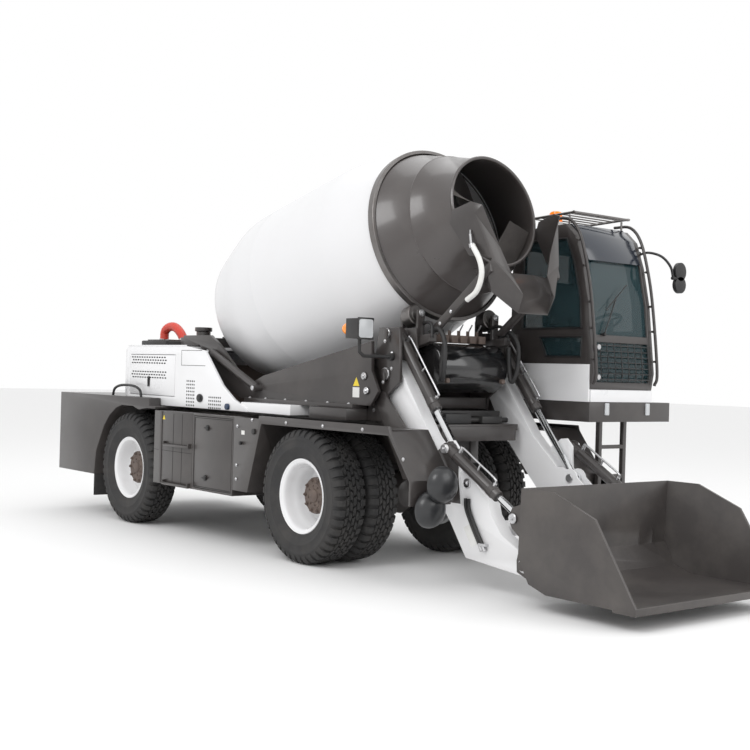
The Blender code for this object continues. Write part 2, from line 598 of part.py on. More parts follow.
def hopper():
    """Feed and discharge hopper in front of the mouth: a folded sheet on two struts."""
    half = {"rear_low": (1.083, 0.465, 2.69), "rear_top": (1.11, 0.47, 2.79),
            "top": (1.295, 0.45, 2.84), "front_top": (1.382, 0.42, 2.812),
            "fold": (1.334, 0.45, 2.751), "corner": (1.26, 0.42, 2.44),
            "knee": (1.437, 0.36, 2.418), "throat": (1.43, 0.27, 2.50),
            "neck": (1.475, 0.195, 2.32), "cheek": (1.525, 0.245, 2.265),
            "lip_top": (1.582, 0.169, 2.155), "lip": (1.527, 0.16, 2.02),
            "heel": (1.40, 0.36, 2.31), "sole": (1.41, 0.32, 2.17), "back": (1.215, 0.33, 2.345)}
    names = list(half)
    skins = [("rear_low", "rear_top", "fold"), ("rear_top", "top", "fold"),
             ("rear_low", "fold", "knee"), ("rear_low", "knee", "corner"),
             ("top", "front_top", "fold"), ("fold", "front_top", "throat", "knee"),
             ("throat", "neck", "cheek", "knee"), ("neck", "lip_top", "cheek"),
             ("knee", "cheek", "heel"), ("heel", "cheek", "sole"),
             ("cheek", "lip_top", "lip", "sole"), ("heel", "sole", "back")]
    count = len(names)
    points = [(x, side * y, z) for _, side in SIDES for x, y, z in half.values()]
    faces = []
    for shift, order in ((0, 1), (count, -1)):
        faces += [[names.index(name) + shift for name in skin][::order] for skin in skins]
    for first, second in (("sole", "lip"), ("back", "sole")):
        a, b = names.index(first), names.index(second)
        faces.append([a, b, b + count, a + count])
    mesh = bpy.data.meshes.new("hopper_sheet")
    mesh.from_pydata(points, [], faces)
    cells = bmesh.new()
    cells.from_mesh(mesh)
    bmesh.ops.triangulate(cells, faces=cells.faces[:])
    bmesh.ops.recalc_face_normals(cells, faces=cells.faces[:])
    cells.to_mesh(mesh)
    cells.free()
    sheet = bpy.data.objects.new("hopper_sheet", mesh)
    model.objects.link(sheet)
    solidify = sheet.modifiers.new("sheet", "SOLIDIFY")
    solidify.thickness = 0.008
    solidify.offset = 0.0
    solid = evaluated(sheet)
    bpy.data.objects.remove(sheet)
    shapes = [mesh_object(solid)]
    for _, side in SIDES:
        bar = slab([(0.76, 1.875), (0.86, 1.875), (1.445, 2.32), (1.425, 2.39)], "Y",
                   *sorted((side * 0.345, side * 0.375)))
        shapes.append(bar)
    part("feed_hopper", shapes, GREY)


def point_along(first, second, distance):
    """Point in the side view at a distance from the first pin towards the second."""
    run = math.dist(first, second)
    return tuple(a + (b - a) * distance / run for a, b in zip(first, second))


def cylinder(name, base, eye, y, barrel_length, rod_start, bore, rod_radius, slew, push):
    """A hydraulic cylinder between two pins: barrel with its base eye, rod with its own."""
    def at(pair, offset=0.0):
        return (pair[0], y + offset, pair[1])

    eye_width = 0.036
    barrel = [rod(at(base, -eye_width), at(base, eye_width), bore * 1.05),
              rod(at(point_along(base, eye, 0.02)), at(point_along(base, eye, barrel_length)),
                  bore)]
    mouth = rod(at(point_along(base, eye, 0.12)),
                at(point_along(base, eye, barrel_length + 0.1)), rod_radius + 0.0012)
    pin = rod(at(base, -0.1), at(base, 0.1), 0.0345)
    part(name.replace("cylinder", "barrel"), barrel, GREY, slew, cuts=[mouth, pin])
    stem = [rod(at(point_along(base, eye, rod_start)), at(eye), rod_radius),
            rod(at(eye, -eye_width), at(eye, eye_width), bore * 0.95)]
    hole = rod(at(eye, -0.1), at(eye, 0.1), 0.0285)
    part(name.replace("cylinder", "rod"), stem, STEEL, push, cuts=[hole])


def loading_arms():
    """Both arms with their cross tube, the bucket, and the four cylinders."""
    lift = pivot("arm_axis", (ARM_PIVOT[0], 0, ARM_PIVOT[1]))
    outline = (arc(ARM_PIVOT, 0.115, 235, 60, 8)
               + [(1.09, 1.075), (1.36, 0.84), (1.42, 0.845)]
               + arc(LIFT_EYE, 0.075, 120, 10, 5)
               + [(1.72, 0.66), (1.75, 0.56), (1.86, 0.43), (2.04, 0.345)]
               + arc(BUCKET_PIVOT, 0.085, 60, -100, 7)
               + [(1.50, 0.225), (1.33, 0.46), (1.19, 0.62), (1.05, 0.76), (0.79, 1.04),
                  (0.62, 1.30)])
    arms = both_slabs(outline, ARM_Y - ARM_HALF, ARM_Y + ARM_HALF)
    tube = rod((1.60, -ARM_Y, 0.43), (1.60, ARM_Y, 0.43), 0.06, 16)
    lever = [(1.14, 0.95), (1.30, 1.06), (1.36, 1.066), (1.42, 1.006), (1.43, 0.80), (1.46, 0.60),
             (1.30, 0.60), (1.22, 0.70)]
    levers = both_slabs(lever, ARM_Y + ARM_HALF - 0.003, ARM_Y + ARM_HALF + 0.016)
    holes = []
    for _, side in SIDES:
        levers.append(rod((TILT_BASE[0], side * 0.60, TILT_BASE[1]),
                          (TILT_BASE[0], side * 0.71, TILT_BASE[1]), 0.032, 16))
        low, high = sorted((side * (ARM_Y - 0.0405), side * (ARM_Y + 0.0405)))
        clevis = slab([(1.30, 1.10), (1.36, 0.80), (1.40, 0.655), (1.53, 0.635), (1.64, 0.72),
                       (1.64, 1.10)], "Y", low, high)
        holes.append(clevis)
        for (x, z), radius in ((ARM_PIVOT, 0.048), (BUCKET_PIVOT, 0.0365)):
            holes.append(rod((x, side * 0.45, z), (x, side * 0.64, z), radius))
    part("loading_arms", [arms[0], tube, arms[1]] + levers, WHITE, lift, cuts=holes)

    bucket_parts(lift)
    for name, side in SIDES:
        slew = pivot("lift_barrel_axis_" + name, (LIFT_BASE[0], 0, LIFT_BASE[1]))
        cylinder("lift_cylinder_" + name, LIFT_BASE, LIFT_EYE, side * ARM_Y, 0.745, 0.56, 0.046,
                 0.028, slew, slew)
        slew = pivot("tilt_barrel_axis_" + name, (TILT_BASE[0], 0, TILT_BASE[1]), lift)
        cylinder("tilt_cylinder_" + name, TILT_BASE, TILT_PIN, side * TILT_Y, 0.60, 0.205, 0.042,
                 0.025, slew, slew)


def bucket_parts(lift):
    """The loading bucket: a bent floor between two side plates, with ears for its pins."""
    tip = pivot("bucket_axis", (BUCKET_PIVOT[0], 0, BUCKET_PIVOT[1]), lift)
    outer = [(2.215, 0.80), (2.20, 0.34), (2.30, 0.17), (2.46, 0.12), (FRONT_END, 0.12),
             (FRONT_END, 0.15), (2.86, 0.66), (2.50, 0.80)]
    room = [(2.232, 0.95), (2.218, 0.345), (2.312, 0.187), (2.465, 0.138), (3.16, 0.138),
            (3.3, 0.20), (3.3, 0.95)]
    shell = slab(outer, "Y", -BUCKET_HALF, BUCKET_HALF)
    hollow = slab(room, "Y", -BUCKET_HALF + 0.02, BUCKET_HALF - 0.02)
    ear = [(2.21, 0.74), (2.08, 0.66), (2.035, 0.58), (2.045, 0.52), (2.06, 0.38), (2.035, 0.28),
           (2.04, 0.20), (2.12, 0.17), (2.21, 0.18), (2.225, 0.40)]
    ears = both_slabs(ear, 0.455, 0.483) + both_slabs(ear, 0.607, 0.622)
    ears += both_slabs([(2.21, 0.70), (2.08, 0.655), (2.04, 0.58), (2.08, 0.51), (2.21, 0.42)],
                       0.698, 0.722)
    pins = []
    for _, side in SIDES:
        pins.append(rod((BUCKET_PIVOT[0], side * 0.46, BUCKET_PIVOT[1]),
                        (BUCKET_PIVOT[0], side * 0.66, BUCKET_PIVOT[1]), 0.035, 16))
    edge = box((3.02, -BUCKET_HALF, 0.105), (FRONT_END, BUCKET_HALF, 0.135))
    body = combine(shell, [hollow], "DIFFERENCE")
    part("loading_bucket", [body, edge] + ears + pins, GREY, tip)


def cab():
    """Operator's cab on its platform: hollow shell, glazing, door, seat and console."""
    floor = box((0.615, CAB_RIGHT - 0.014, 1.36), (1.462, CAB_LEFT, CAB_FLOOR_TOP))
    skirt = box((0.62, CAB_RIGHT - 0.014, 1.37), (1.462, CAB_RIGHT - GAP, 1.66))
    part("cab_base", [floor, skirt], WHITE)

    deck = box((0.615, CAB_RIGHT - 0.01, 1.20), (1.475, 1.74, 1.36 - GAP))
    bearer = box((0.05, 0.80, 1.2555), (0.70, 1.40, 1.34))
    posts = [box((1.385, y - 0.02, 0.46), (1.425, y + 0.02, 1.21)) for y in (0.93, 1.23)]
    rungs = [box((1.385, 0.94, z), (1.425, 1.22, z + 0.03)) for z in (0.50, 0.74, 0.98)]
    part("cab_platform", [deck, bearer] + posts + rungs, GREY)

    shell = slab(CAB_PROFILE, "Y", CAB_RIGHT, CAB_LEFT)
    w = CAB_WALL
    inner = [(0.57 + w, 1.30), (1.462 - w, 1.30), (1.485 - w, 1.60), (1.42 - w, 2.16),
             (1.35 - w, 2.47), (1.27 - w, 2.67), (1.14, 2.80 - w), (0.68, 2.78 - w),
             (0.57 + w, 2.66)]
    room = slab(inner, "Y", CAB_RIGHT + w, CAB_LEFT - w)
    front_upper = box((1.15, CAB_RIGHT + 0.055, 1.90), (1.7, CAB_LEFT - 0.055, 2.63))
    front_lower = box((1.30, CAB_RIGHT + 0.055, 1.52), (1.7, CAB_LEFT - 0.055, 1.84))
    side_upper = [(0.70, 1.95), (1.36, 1.95), (1.34, 2.20), (1.26, 2.50), (1.18, 2.68),
                  (0.78, 2.68), (0.70, 2.60)]
    side_lower = [(0.98, 1.72), (1.36, 1.72), (1.37, 1.88), (0.90, 1.88)]
    right_cuts = [slab(side_upper, "Y", CAB_RIGHT - 0.1, CAB_RIGHT + 0.1),
                  slab(side_lower, "Y", CAB_RIGHT - 0.1, CAB_RIGHT + 0.1)]
    rear_cut = box((0.5, CAB_RIGHT + 0.08, 1.95), (0.7, CAB_LEFT - 0.08, 2.62))
    doorway = [(0.66, 1.50), (1.36, 1.50), (1.385, 1.70), (1.33, 2.16), (1.26, 2.48), (1.17, 2.66),
               (0.66, 2.66)]
    door_cut = slab(doorway, "Y", CAB_LEFT - 0.1, CAB_LEFT + 0.1)
    part("cab_shell", [combine(shell, [room], "DIFFERENCE")], GREY,
         cuts=[front_upper, front_lower, rear_cut, door_cut] + right_cuts)

    def pane(profile, depth):
        back = [(x - 0.005, z) for x, z in reversed(profile)]
        return slab([(x - depth, z) for x, z in profile + back], "Y",
                    CAB_RIGHT + 0.0555, CAB_LEFT - 0.0555)

    upper = [(1.450, 1.9005), (1.42, 2.16), (1.35, 2.48), (1.2963, 2.6295)]
    part("windscreen", [pane(upper, 0.018)], GLASS)
    lower = [(1.4717, 1.5205), (1.485, 1.60), (1.4572, 1.8395)]
    part("lower_front_window", [pane(lower, 0.018)], GLASS)

    def shrunk(outline, step):
        cx = sum(x for x, _ in outline) / len(outline)
        cz = sum(z for _, z in outline) / len(outline)
        return [(x - math.copysign(step, x - cx), z - math.copysign(step, z - cz))
                for x, z in outline]

    part("right_window", [slab(shrunk(side_upper, 0.001), "Y", CAB_RIGHT + 0.015,
                               CAB_RIGHT + 0.020)], GLASS)
    part("rear_window", [box((0.585, CAB_RIGHT + 0.081, 1.951),
                             (0.59, CAB_LEFT - 0.081, 2.619))], GLASS)

    hinge = pivot("cab_door_hinge", (0.66, CAB_LEFT, 2.0))
    leaf = slab(shrunk(doorway, RUN), "Y", CAB_LEFT - w, CAB_LEFT)
    light = [(0.75, 1.95), (1.28, 1.95), (1.25, 2.20), (1.18, 2.48), (1.13, 2.58), (0.75, 2.58)]
    part("cab_door", [leaf], GREY, hinge,
         cuts=[slab(light, "Y", CAB_LEFT - 0.1, CAB_LEFT + 0.1)])
    part("door_window", [slab(shrunk(light, 0.001), "Y", CAB_LEFT - 0.025, CAB_LEFT - 0.020)],
         GLASS, hinge)

    cushion = box((0.80, 0.90, 1.72), (1.16, 1.34, 1.84))
    stand = box((0.84, 0.98, CAB_FLOOR_TOP + GAP), (1.08, 1.26, 1.73))
    back = turned_about(box((0.76, 0.92, 1.80), (0.86, 1.32, 2.36)), (0.81, 1.12, 1.80), -6, "Y")
    column = turned_about(box((1.29, 1.04, CAB_FLOOR_TOP + 0.02), (1.35, 1.20, 2.03)),
                          (1.32, 1.12, 1.46), -6, "Y")
    base = box((1.24, 1.02, CAB_FLOOR_TOP + GAP), (1.38, 1.22, 1.52))
    wheel = turned([(0.0, 0.012), (0.17, 0.014), (0.18, 0.0), (0.17, -0.014), (0.0, -0.012)],
                   Matrix.Translation((1.24, 1.12, 2.0)) @ Matrix.Rotation(-0.5, 4, "Y"), 20)
    mat = box((0.80, 0.90, CAB_FLOOR_TOP + GAP), (1.38, 1.34, CAB_FLOOR_TOP + 0.012))
    part("operator_station", [mat, stand, cushion, back, base, column, wheel], SEAT)

    arm = pipe([(1.265, CAB_LEFT + 0.015, 2.60), (1.47, CAB_LEFT + 0.03, 2.58),
                (1.54, CAB_LEFT + 0.13, 2.52), (1.55, 1.66, 2.40)], 0.012)
    glass = box((1.53, 1.58, 2.28), (1.57, LEFT_SIDE, 2.54))
    pad = box((1.235, CAB_LEFT + GAP, 2.57), (1.295, CAB_LEFT + 0.018, 2.63))
    part("mirror", [arm, glass, pad], BLACK)

    lamp = rod((0.94, 0.85, 2.796), (0.94, 0.85, 2.84), 0.05, 16)
    dome = rod((0.94, 0.85, 2.835), (0.94, 0.85, 2.93), 0.055, 16, 0.048)
    part("beacon", [lamp, dome], AMBER)


def lamps():
    """Right headlamp and turn lamp on a bent tube from the tower."""
    housing = box((0.60, RIGHT_SIDE, 1.80), (0.74, RIGHT_SIDE + 0.15, 1.95))
    turn = rod((0.61, RIGHT_SIDE + 0.075, 1.875), (0.49, RIGHT_SIDE + 0.075, 1.875), 0.055, 16, 0.03)
    stalk = pipe([(0.67, -0.98, 1.81), (0.67, -0.98, 1.70), (0.67, -0.94, 1.67),
                  (0.67, -0.6785, 1.67)], 0.014)
    flange = rod((0.67, -0.65 - GAP, 1.67), (0.67, -0.685, 1.67), 0.03, 12)
    part("right_headlamp", [housing, turn, stalk, flange], BLACK)


chassis()
axles()
front_wheels()
rear_wheels()
rear_body()
side_boxes()
mudguards()
tower_and_cradle()
drum()
hopper()
loading_arms()
cab()
lamps()
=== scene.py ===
"""Looks of a self-loading concrete mixer truck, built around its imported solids.

Places are in metres in the machine's own axes: X forward, Y to its left, Z up, with zero on
the ground under the front axle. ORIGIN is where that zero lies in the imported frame.
"""
import json
import math

import bmesh
import bpy
from mathutils import Matrix, Vector


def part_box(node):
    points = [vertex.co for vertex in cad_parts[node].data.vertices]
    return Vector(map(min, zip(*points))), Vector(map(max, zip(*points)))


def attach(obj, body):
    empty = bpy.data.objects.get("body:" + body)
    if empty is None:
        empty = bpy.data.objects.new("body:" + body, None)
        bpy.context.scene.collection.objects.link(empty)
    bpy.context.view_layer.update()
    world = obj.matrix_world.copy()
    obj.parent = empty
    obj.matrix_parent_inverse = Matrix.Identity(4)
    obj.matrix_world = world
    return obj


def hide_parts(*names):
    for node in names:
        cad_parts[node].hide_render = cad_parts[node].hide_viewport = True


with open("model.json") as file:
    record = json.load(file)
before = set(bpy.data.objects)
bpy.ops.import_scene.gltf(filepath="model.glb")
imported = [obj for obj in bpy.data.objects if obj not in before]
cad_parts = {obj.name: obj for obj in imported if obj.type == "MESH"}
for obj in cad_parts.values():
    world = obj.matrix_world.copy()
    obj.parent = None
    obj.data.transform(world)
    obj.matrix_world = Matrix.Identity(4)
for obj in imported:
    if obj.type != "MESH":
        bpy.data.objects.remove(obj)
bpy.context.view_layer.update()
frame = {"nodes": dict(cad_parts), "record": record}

ORIGIN = Vector((0.635, -0.37, 0.0))
WHEELBASE, AXLE_Z = 2.944, 0.54
TYRE_RADIUS = 0.54
TWIN_MIDDLE_Y, TWIN_OFFSET, REAR_WHEEL_Y = 0.726, 0.163, 0.8775
DRUM_TILT = math.radians(13.25)
DRUM_RING = Vector((0.449, 0.0, 2.682))
DRUM_SHELL = [(-2.441, 0.676), (-1.95, 0.827), (-0.504, 0.827), (0.0, 0.695)]
MOUTH_S, MOUTH_R = 0.655, 0.435
ARM_PIVOT, LIFT_BASE, LIFT_EYE = (0.6, 1.537), (0.61, 1.857), (1.5, 0.764)
TILT_BASE, TILT_PIN, BUCKET_PIVOT = (1.36, 1.006), (2.09, 0.58), (2.12, 0.255)
ARM_Y, TILT_Y = 0.545, 0.66
THIN = 0.0008                              # a label or a painted line
HOOD_FACE, BOX_FACE, REAR_FACE = 0.9003, 1.0302, -4.4712   # faces that trim stands on
CRADLE_FACE, CAB_RIGHT_FACE, LEVER_FACE = 0.7302, 0.7345, 0.6162
HOOD = (-3.2, 1.74)
SIDES = (("right", -1), ("left", 1))


# ---------------------------------------------------------------- materials
def link(tree, source, target):
    """Joins two sockets of a material."""
    tree.links.new(source, target)


def shader_node(tree, kind, **inputs):
    """A new node with its inputs set; an underscore in a name stands for a space."""
    made = tree.nodes.new("ShaderNode" + kind)
    for name, value in inputs.items():
        made.inputs[name.replace("_", " ")].default_value = value
    return made


def finish_of(name, colour, roughness, metallic=0.0, coat=0.0, dirt=None, amount=0.0,
              patch=2.5, grain=0.0, fine=260.0, dust=0.0, spread=0.12):
    """A paint, metal, rubber or plastic with patchy dirt, dust near the ground and grain."""
    made = bpy.data.materials.new(name)
    made.use_nodes = True
    tree = made.node_tree
    shader = tree.nodes["Principled BSDF"]
    for key, value in (("Base Color", (*colour, 1.0)), ("Metallic", metallic),
                       ("Roughness", roughness), ("Coat Weight", coat),
                       ("Coat Roughness", 0.12)):
        shader.inputs[key].default_value = value
    place = shader_node(tree, "TexCoord").outputs["Object"]
    clouds = shader_node(tree, "TexNoise", Scale=patch, Detail=8.0, Roughness=0.62)
    link(tree, place, clouds.inputs["Vector"])
    worn = shader_node(tree, "MapRange", From_Min=0.44, From_Max=0.74, To_Max=amount)
    link(tree, clouds.outputs["Fac"], worn.inputs["Value"])
    level = worn.outputs["Result"]
    if dust:
        parts = shader_node(tree, "SeparateXYZ")
        link(tree, place, parts.inputs["Vector"])
        height = shader_node(tree, "MapRange", From_Min=1.15, From_Max=0.1, To_Max=dust)
        link(tree, parts.outputs["Z"], height.inputs["Value"])
        speckle = shader_node(tree, "TexNoise", Scale=14.0, Detail=6.0)
        link(tree, place, speckle.inputs["Vector"])
        broken, total = shader_node(tree, "Math"), shader_node(tree, "Math")
        broken.operation = "MULTIPLY"
        link(tree, height.outputs["Result"], broken.inputs[0])
        link(tree, speckle.outputs["Fac"], broken.inputs[1])
        total.operation = "ADD"
        total.use_clamp = True
        link(tree, level, total.inputs[0])
        link(tree, broken.outputs["Value"], total.inputs[1])
        level = total.outputs["Value"]
    if dirt:
        blend = tree.nodes.new("ShaderNodeMix")
        blend.data_type = "RGBA"
        blend.inputs["A"].default_value = (*colour, 1.0)
        blend.inputs["B"].default_value = (*dirt, 1.0)
        link(tree, level, blend.inputs["Factor"])
        link(tree, blend.outputs["Result"], shader.inputs["Base Color"])
    gloss = shader_node(
        tree, "MapRange", From_Min=0.3, From_Max=0.75, To_Min=max(0.03, roughness - spread / 2),
        To_Max=min(1.0, roughness + spread))
    link(tree, clouds.outputs["Fac"], gloss.inputs["Value"])
    link(tree, gloss.outputs["Result"], shader.inputs["Roughness"])
    if grain:
        pores = shader_node(tree, "TexNoise", Scale=fine, Detail=3.0)
        link(tree, place, pores.inputs["Vector"])
        bump = shader_node(tree, "Bump", Strength=grain, Distance=0.002)
        link(tree, pores.outputs["Fac"], bump.inputs["Height"])
        link(tree, bump.outputs["Normal"], shader.inputs["Normal"])
    return made


DUST = (0.34, 0.31, 0.28)
GREY = finish_of("dark_grey_paint", (0.04, 0.035, 0.034), 0.34, coat=0.25, dirt=DUST,
                 amount=0.07, grain=0.1, dust=0.07)
WHITE = finish_of("white_paint", (0.8, 0.8, 0.81), 0.3, coat=0.35, dirt=(0.58, 0.56, 0.53),
                  amount=0.09, grain=0.05, dust=0.12)
DRUM_WHITE = finish_of(
    "drum_white_paint", (0.7, 0.7, 0.71), 0.36, coat=0.3, dirt=(0.56, 0.56, 0.55), amount=0.12,
    patch=1.4, grain=0.05, fine=90.0)
CONE_GREY = finish_of(
    "mouth_grey_paint", (0.06, 0.052, 0.05), 0.33, coat=0.45, dirt=(0.16, 0.145, 0.135),
    amount=0.12, patch=3.0, grain=0.08)
BLADE_GREY = finish_of(
    "blade_worn_steel", (0.12, 0.11, 0.105), 0.5, metallic=0.2, dirt=(0.36, 0.34, 0.31),
    amount=0.35, grain=0.3, fine=60.0)
BLACK = finish_of("black_plastic", (0.012, 0.012, 0.013), 0.45, dirt=DUST, amount=0.08,
                  grain=0.25, fine=420.0, dust=0.1)
BLACK_GLOSS = finish_of(
    "black_gloss_paint", (0.008, 0.008, 0.009), 0.14, coat=0.6, dirt=DUST, amount=0.05,
    grain=0.03, spread=0.08)
RUBBER = finish_of("tyre_rubber", (0.022, 0.022, 0.023), 0.78, dirt=(0.12, 0.11, 0.1),
                   amount=0.25, patch=5.0, grain=0.5, fine=160.0, dust=0.2)
STEEL = finish_of("zinc_steel", (0.56, 0.56, 0.57), 0.28, metallic=1.0, dirt=(0.24, 0.22, 0.2),
                  amount=0.22, patch=9.0, grain=0.05)
CHROME = finish_of("chromed_rod", (0.74, 0.75, 0.76), 0.08, metallic=1.0, dirt=(0.5, 0.5, 0.5),
                   amount=0.1, spread=0.06)
CAST = finish_of("hub_casting", (0.105, 0.078, 0.066), 0.62, dirt=(0.2, 0.15, 0.12),
                 amount=0.5, patch=16.0, grain=0.45, fine=130.0)
HOSE = finish_of("hose_rubber", (0.014, 0.014, 0.015), 0.5, dirt=DUST, amount=0.1,
                 grain=0.35, fine=500.0)
RED_HOSE = finish_of("red_hose", (0.62, 0.045, 0.025), 0.4, dirt=(0.5, 0.2, 0.15),
                     amount=0.25, patch=12.0, grain=0.3, fine=240.0)
PIPE_WHITE = finish_of(
    "white_water_pipe", (0.75, 0.75, 0.73), 0.35, dirt=(0.5, 0.47, 0.42), amount=0.3, patch=10.0,
    grain=0.1)
BUCKET = finish_of("bucket_paint", (0.05, 0.044, 0.042), 0.4, coat=0.15, dirt=(0.2, 0.18, 0.16),
                   amount=0.25, patch=2.2, grain=0.2, fine=120.0)
LEATHER = finish_of("seat_leather", (0.022, 0.021, 0.022), 0.55, dirt=(0.08, 0.08, 0.08),
                    amount=0.15, grain=0.6, fine=320.0)
# Near-black flat colour: painted shade for the hood's slots and vent holes, and the real dark
# seams and door gaps elsewhere.
OPENING_SHADE_AND_SEAMS = finish_of("painted_opening_shade_and_seams", (0.004, 0.004, 0.004), 0.9, grain=0.1)
LABEL = finish_of("blank_label", (0.72, 0.72, 0.7), 0.42, dirt=(0.5, 0.48, 0.44),
                  amount=0.3, patch=20.0, grain=0.05)
YELLOW = finish_of("yellow_sign", (0.8, 0.6, 0.02), 0.4, dirt=(0.5, 0.42, 0.2),
                   amount=0.25, patch=20.0, grain=0.05)
RED = finish_of("red_reflector", (0.55, 0.02, 0.015), 0.2, coat=0.6, dirt=(0.3, 0.1, 0.1),
                amount=0.1, grain=0.4, fine=500.0)
BLUE = finish_of("blue_cap", (0.012, 0.035, 0.085), 0.4, dirt=DUST, amount=0.1, grain=0.2)
BRUSH_STEEL = finish_of(
    "roller_track_steel", (0.2, 0.19, 0.185), 0.34, metallic=0.9, dirt=(0.12, 0.1, 0.09),
    amount=0.4, patch=8.0, grain=0.12)


def clear_material(name, colour, roughness, transmission, alpha=1.0, glow=0.0):
    """Glass or a lens."""
    made = finish_of(name, colour, roughness, spread=0.02)
    shader = made.node_tree.nodes["Principled BSDF"]
    shader.inputs["Transmission Weight"].default_value = transmission
    shader.inputs["Alpha"].default_value = alpha
    shader.inputs["Emission Color"].default_value = (*colour, 1.0)
    shader.inputs["Emission Strength"].default_value = glow
    return made


GLASS = clear_material("tinted_glass", (0.03, 0.06, 0.068), 0.03, 0.0, alpha=0.58)
AMBER = clear_material("amber_lens", (0.95, 0.3, 0.01), 0.15, 0.35, glow=0.25)
CLEAR = clear_material("clear_lens", (0.8, 0.82, 0.84), 0.06, 0.5, glow=0.05)
MIRROR = finish_of("mirror_glass", (0.85, 0.87, 0.88), 0.03, metallic=1.0, spread=0.02)
VISOR = finish_of("roof_visor", (0.014, 0.02, 0.032), 0.12, coat=0.7, dirt=DUST,
                  amount=0.04, grain=0.02, spread=0.06)
DOME = finish_of("dome_plastic", (0.02, 0.021, 0.023), 0.33, coat=0.2, dirt=DUST,
                 amount=0.05, grain=0.08)
RED_LENS = clear_material("red_lens", (0.7, 0.02, 0.01), 0.15, 0.3, glow=0.1)


# ---------------------------------------------------------------- shapes
AXES = {
    "X": Matrix(((0, 0, 1, 0), (1, 0, 0, 0), (0, 1, 0, 0), (0, 0, 0, 1))),
    "Y": Matrix(((1, 0, 0, 0), (0, 0, 1, 0), (0, 1, 0, 0), (0, 0, 0, 1))),
    "Z": Matrix.Identity(4)}


def along(start, end):
    """Frame at start whose Z points to end."""
    run = Vector(end) - Vector(start)
    return Matrix.Translation(start) @ run.to_track_quat("Z", "Y").to_matrix().to_4x4()


def lathe(profile, place, sides=48, closed=False):
    """(radius, height) pairs spun about the frame's Z."""
    verts, faces, rings = [], [], []
    for r, h in profile:
        if r < 1e-6:
            rings.append([len(verts)] * sides)
            verts.append(place @ Vector((0, 0, h)))
            continue
        rings.append(list(range(len(verts), len(verts) + sides)))
        verts += [place @ Vector((r * math.cos(2 * math.pi * i / sides),
                                  r * math.sin(2 * math.pi * i / sides), h))
                  for i in range(sides)]
    pairs = list(zip(rings, rings[1:])) + ([(rings[-1], rings[0])] if closed else [])
    for low, high in pairs:
        for i in range(sides):
            j = (i + 1) % sides
            corners = [low[i], low[j], high[j], high[i]]
            face = [v for k, v in enumerate(corners) if v not in corners[:k]]
            if len(face) > 2:
                faces.append(face)
    return verts, faces


def both_ways(half):
    """A profile and its image, back from its last point."""
    return half + [(r, -h) for r, h in reversed(half)]


def rod(start, end, radius, sides=24, lip=0.0, end_radius=None):
    """A round bar with small chamfers at its ends."""
    length = (Vector(end) - Vector(start)).length
    far = radius if end_radius is None else end_radius
    lip = lip or min(0.003, radius * 0.15)
    profile = [(0, 0), (radius - lip, 0), (radius, lip), (far, length - lip),
               (far - lip, length), (0, length)]
    return lathe(profile, along(start, end), sides)


def across(x, z, start, end, radius, sides=24, lip=0.0):
    """A round bar that lies across the machine, between two Y."""
    return rod((x, start, z), (x, end, z), radius, sides, lip)


def slab(outline, axis, low, high):
    """A flat outline pushed along one axis; pairs are (x, z) for Y, (y, z) for X, (x, y) for Z."""
    n = len(outline)
    verts = [AXES[axis] @ Vector((u, v, w)) for w in (low, high) for u, v in outline]
    faces = [list(range(n)), list(range(2 * n - 1, n - 1, -1))]
    faces += [[i, (i + 1) % n, n + (i + 1) % n, n + i] for i in range(n)]
    return verts, faces


def rectangle(low, high):
    """Outline of a rectangle between two corners."""
    return [(low[0], low[1]), (high[0], low[1]), (high[0], high[1]), (low[0], high[1])]


def block(low, high):
    """A box between two corners."""
    return slab(rectangle(low, high), "Z", low[2], high[2])


def turned_about(shape, point, degrees, axis):
    """The same shape turned about a line through a point."""
    turn = (Matrix.Translation(point) @ Matrix.Rotation(math.radians(degrees), 4, axis)
            @ Matrix.Translation(-Vector(point)))
    return [turn @ v for v in shape[0]], shape[1]


def smooth_route(points, steps=6):
    """A Catmull-Rom curve through the points."""
    points = [Vector(p) for p in points]
    ends = [2 * points[0] - points[1]] + points + [2 * points[-1] - points[-2]]
    route = []
    for a, b, c, d in zip(ends, ends[1:], ends[2:], ends[3:]):
        for i in range(steps):
            t = i / steps
            route.append(0.5 * ((2 * b) + (c - a) * t + (2 * a - 5 * b + 4 * c - d) * t ** 2
                                + (3 * b - a - 3 * c + d) * t ** 3))
    return route + [points[-1]]


def skin(rows, count):
    """Quads between rows of count points, each row closed on itself."""
    return [[i * count + k, i * count + (k + 1) % count, (i + 1) * count + (k + 1) % count,
             (i + 1) * count + k] for i in range(rows - 1) for k in range(count)]


def tube(points, radius, sides=10, steps=6, ribs=0.0):
    """A hose or bent pipe through the points; ribs makes it corrugated."""
    route = smooth_route(points, steps) if steps > 1 else [Vector(p) for p in points]
    verts = []
    side = None
    for i, place in enumerate(route):
        ahead = (route[min(i + 1, len(route) - 1)] - route[max(i - 1, 0)]).normalized()
        if side is None:
            side = ahead.orthogonal().normalized()
        side = (side - ahead * side.dot(ahead)).normalized()
        other = ahead.cross(side)
        r = radius + (ribs if i % 2 else 0.0)
        verts += [place + (side * math.cos(2 * math.pi * k / sides)
                           + other * math.sin(2 * math.pi * k / sides)) * r for k in range(sides)]
    faces = skin(len(route), sides)
    faces.append(list(range(sides))[::-1])
    faces.append([len(verts) - sides + k for k in range(sides)])
    return verts, faces


def bolt(place, direction, radius=0.011, height=0.009):
    """A hexagon head on its washer, standing out along direction."""
    base = along(place, Vector(place) + Vector(direction))
    washer = lathe([(0, 0), (radius * 1.45, 0), (radius * 1.45, 0.0025), (0, 0.0025)], base, 16)
    head = lathe([(radius, 0.002), (radius, height * 0.85), (radius * 0.86, height), (0, height)],
                 base, 6)
    stud = lathe([(radius * 0.5, height * 0.9), (radius * 0.5, height * 1.35), (0, height * 1.4)],
                 base, 10)
    return [washer, head, stud]


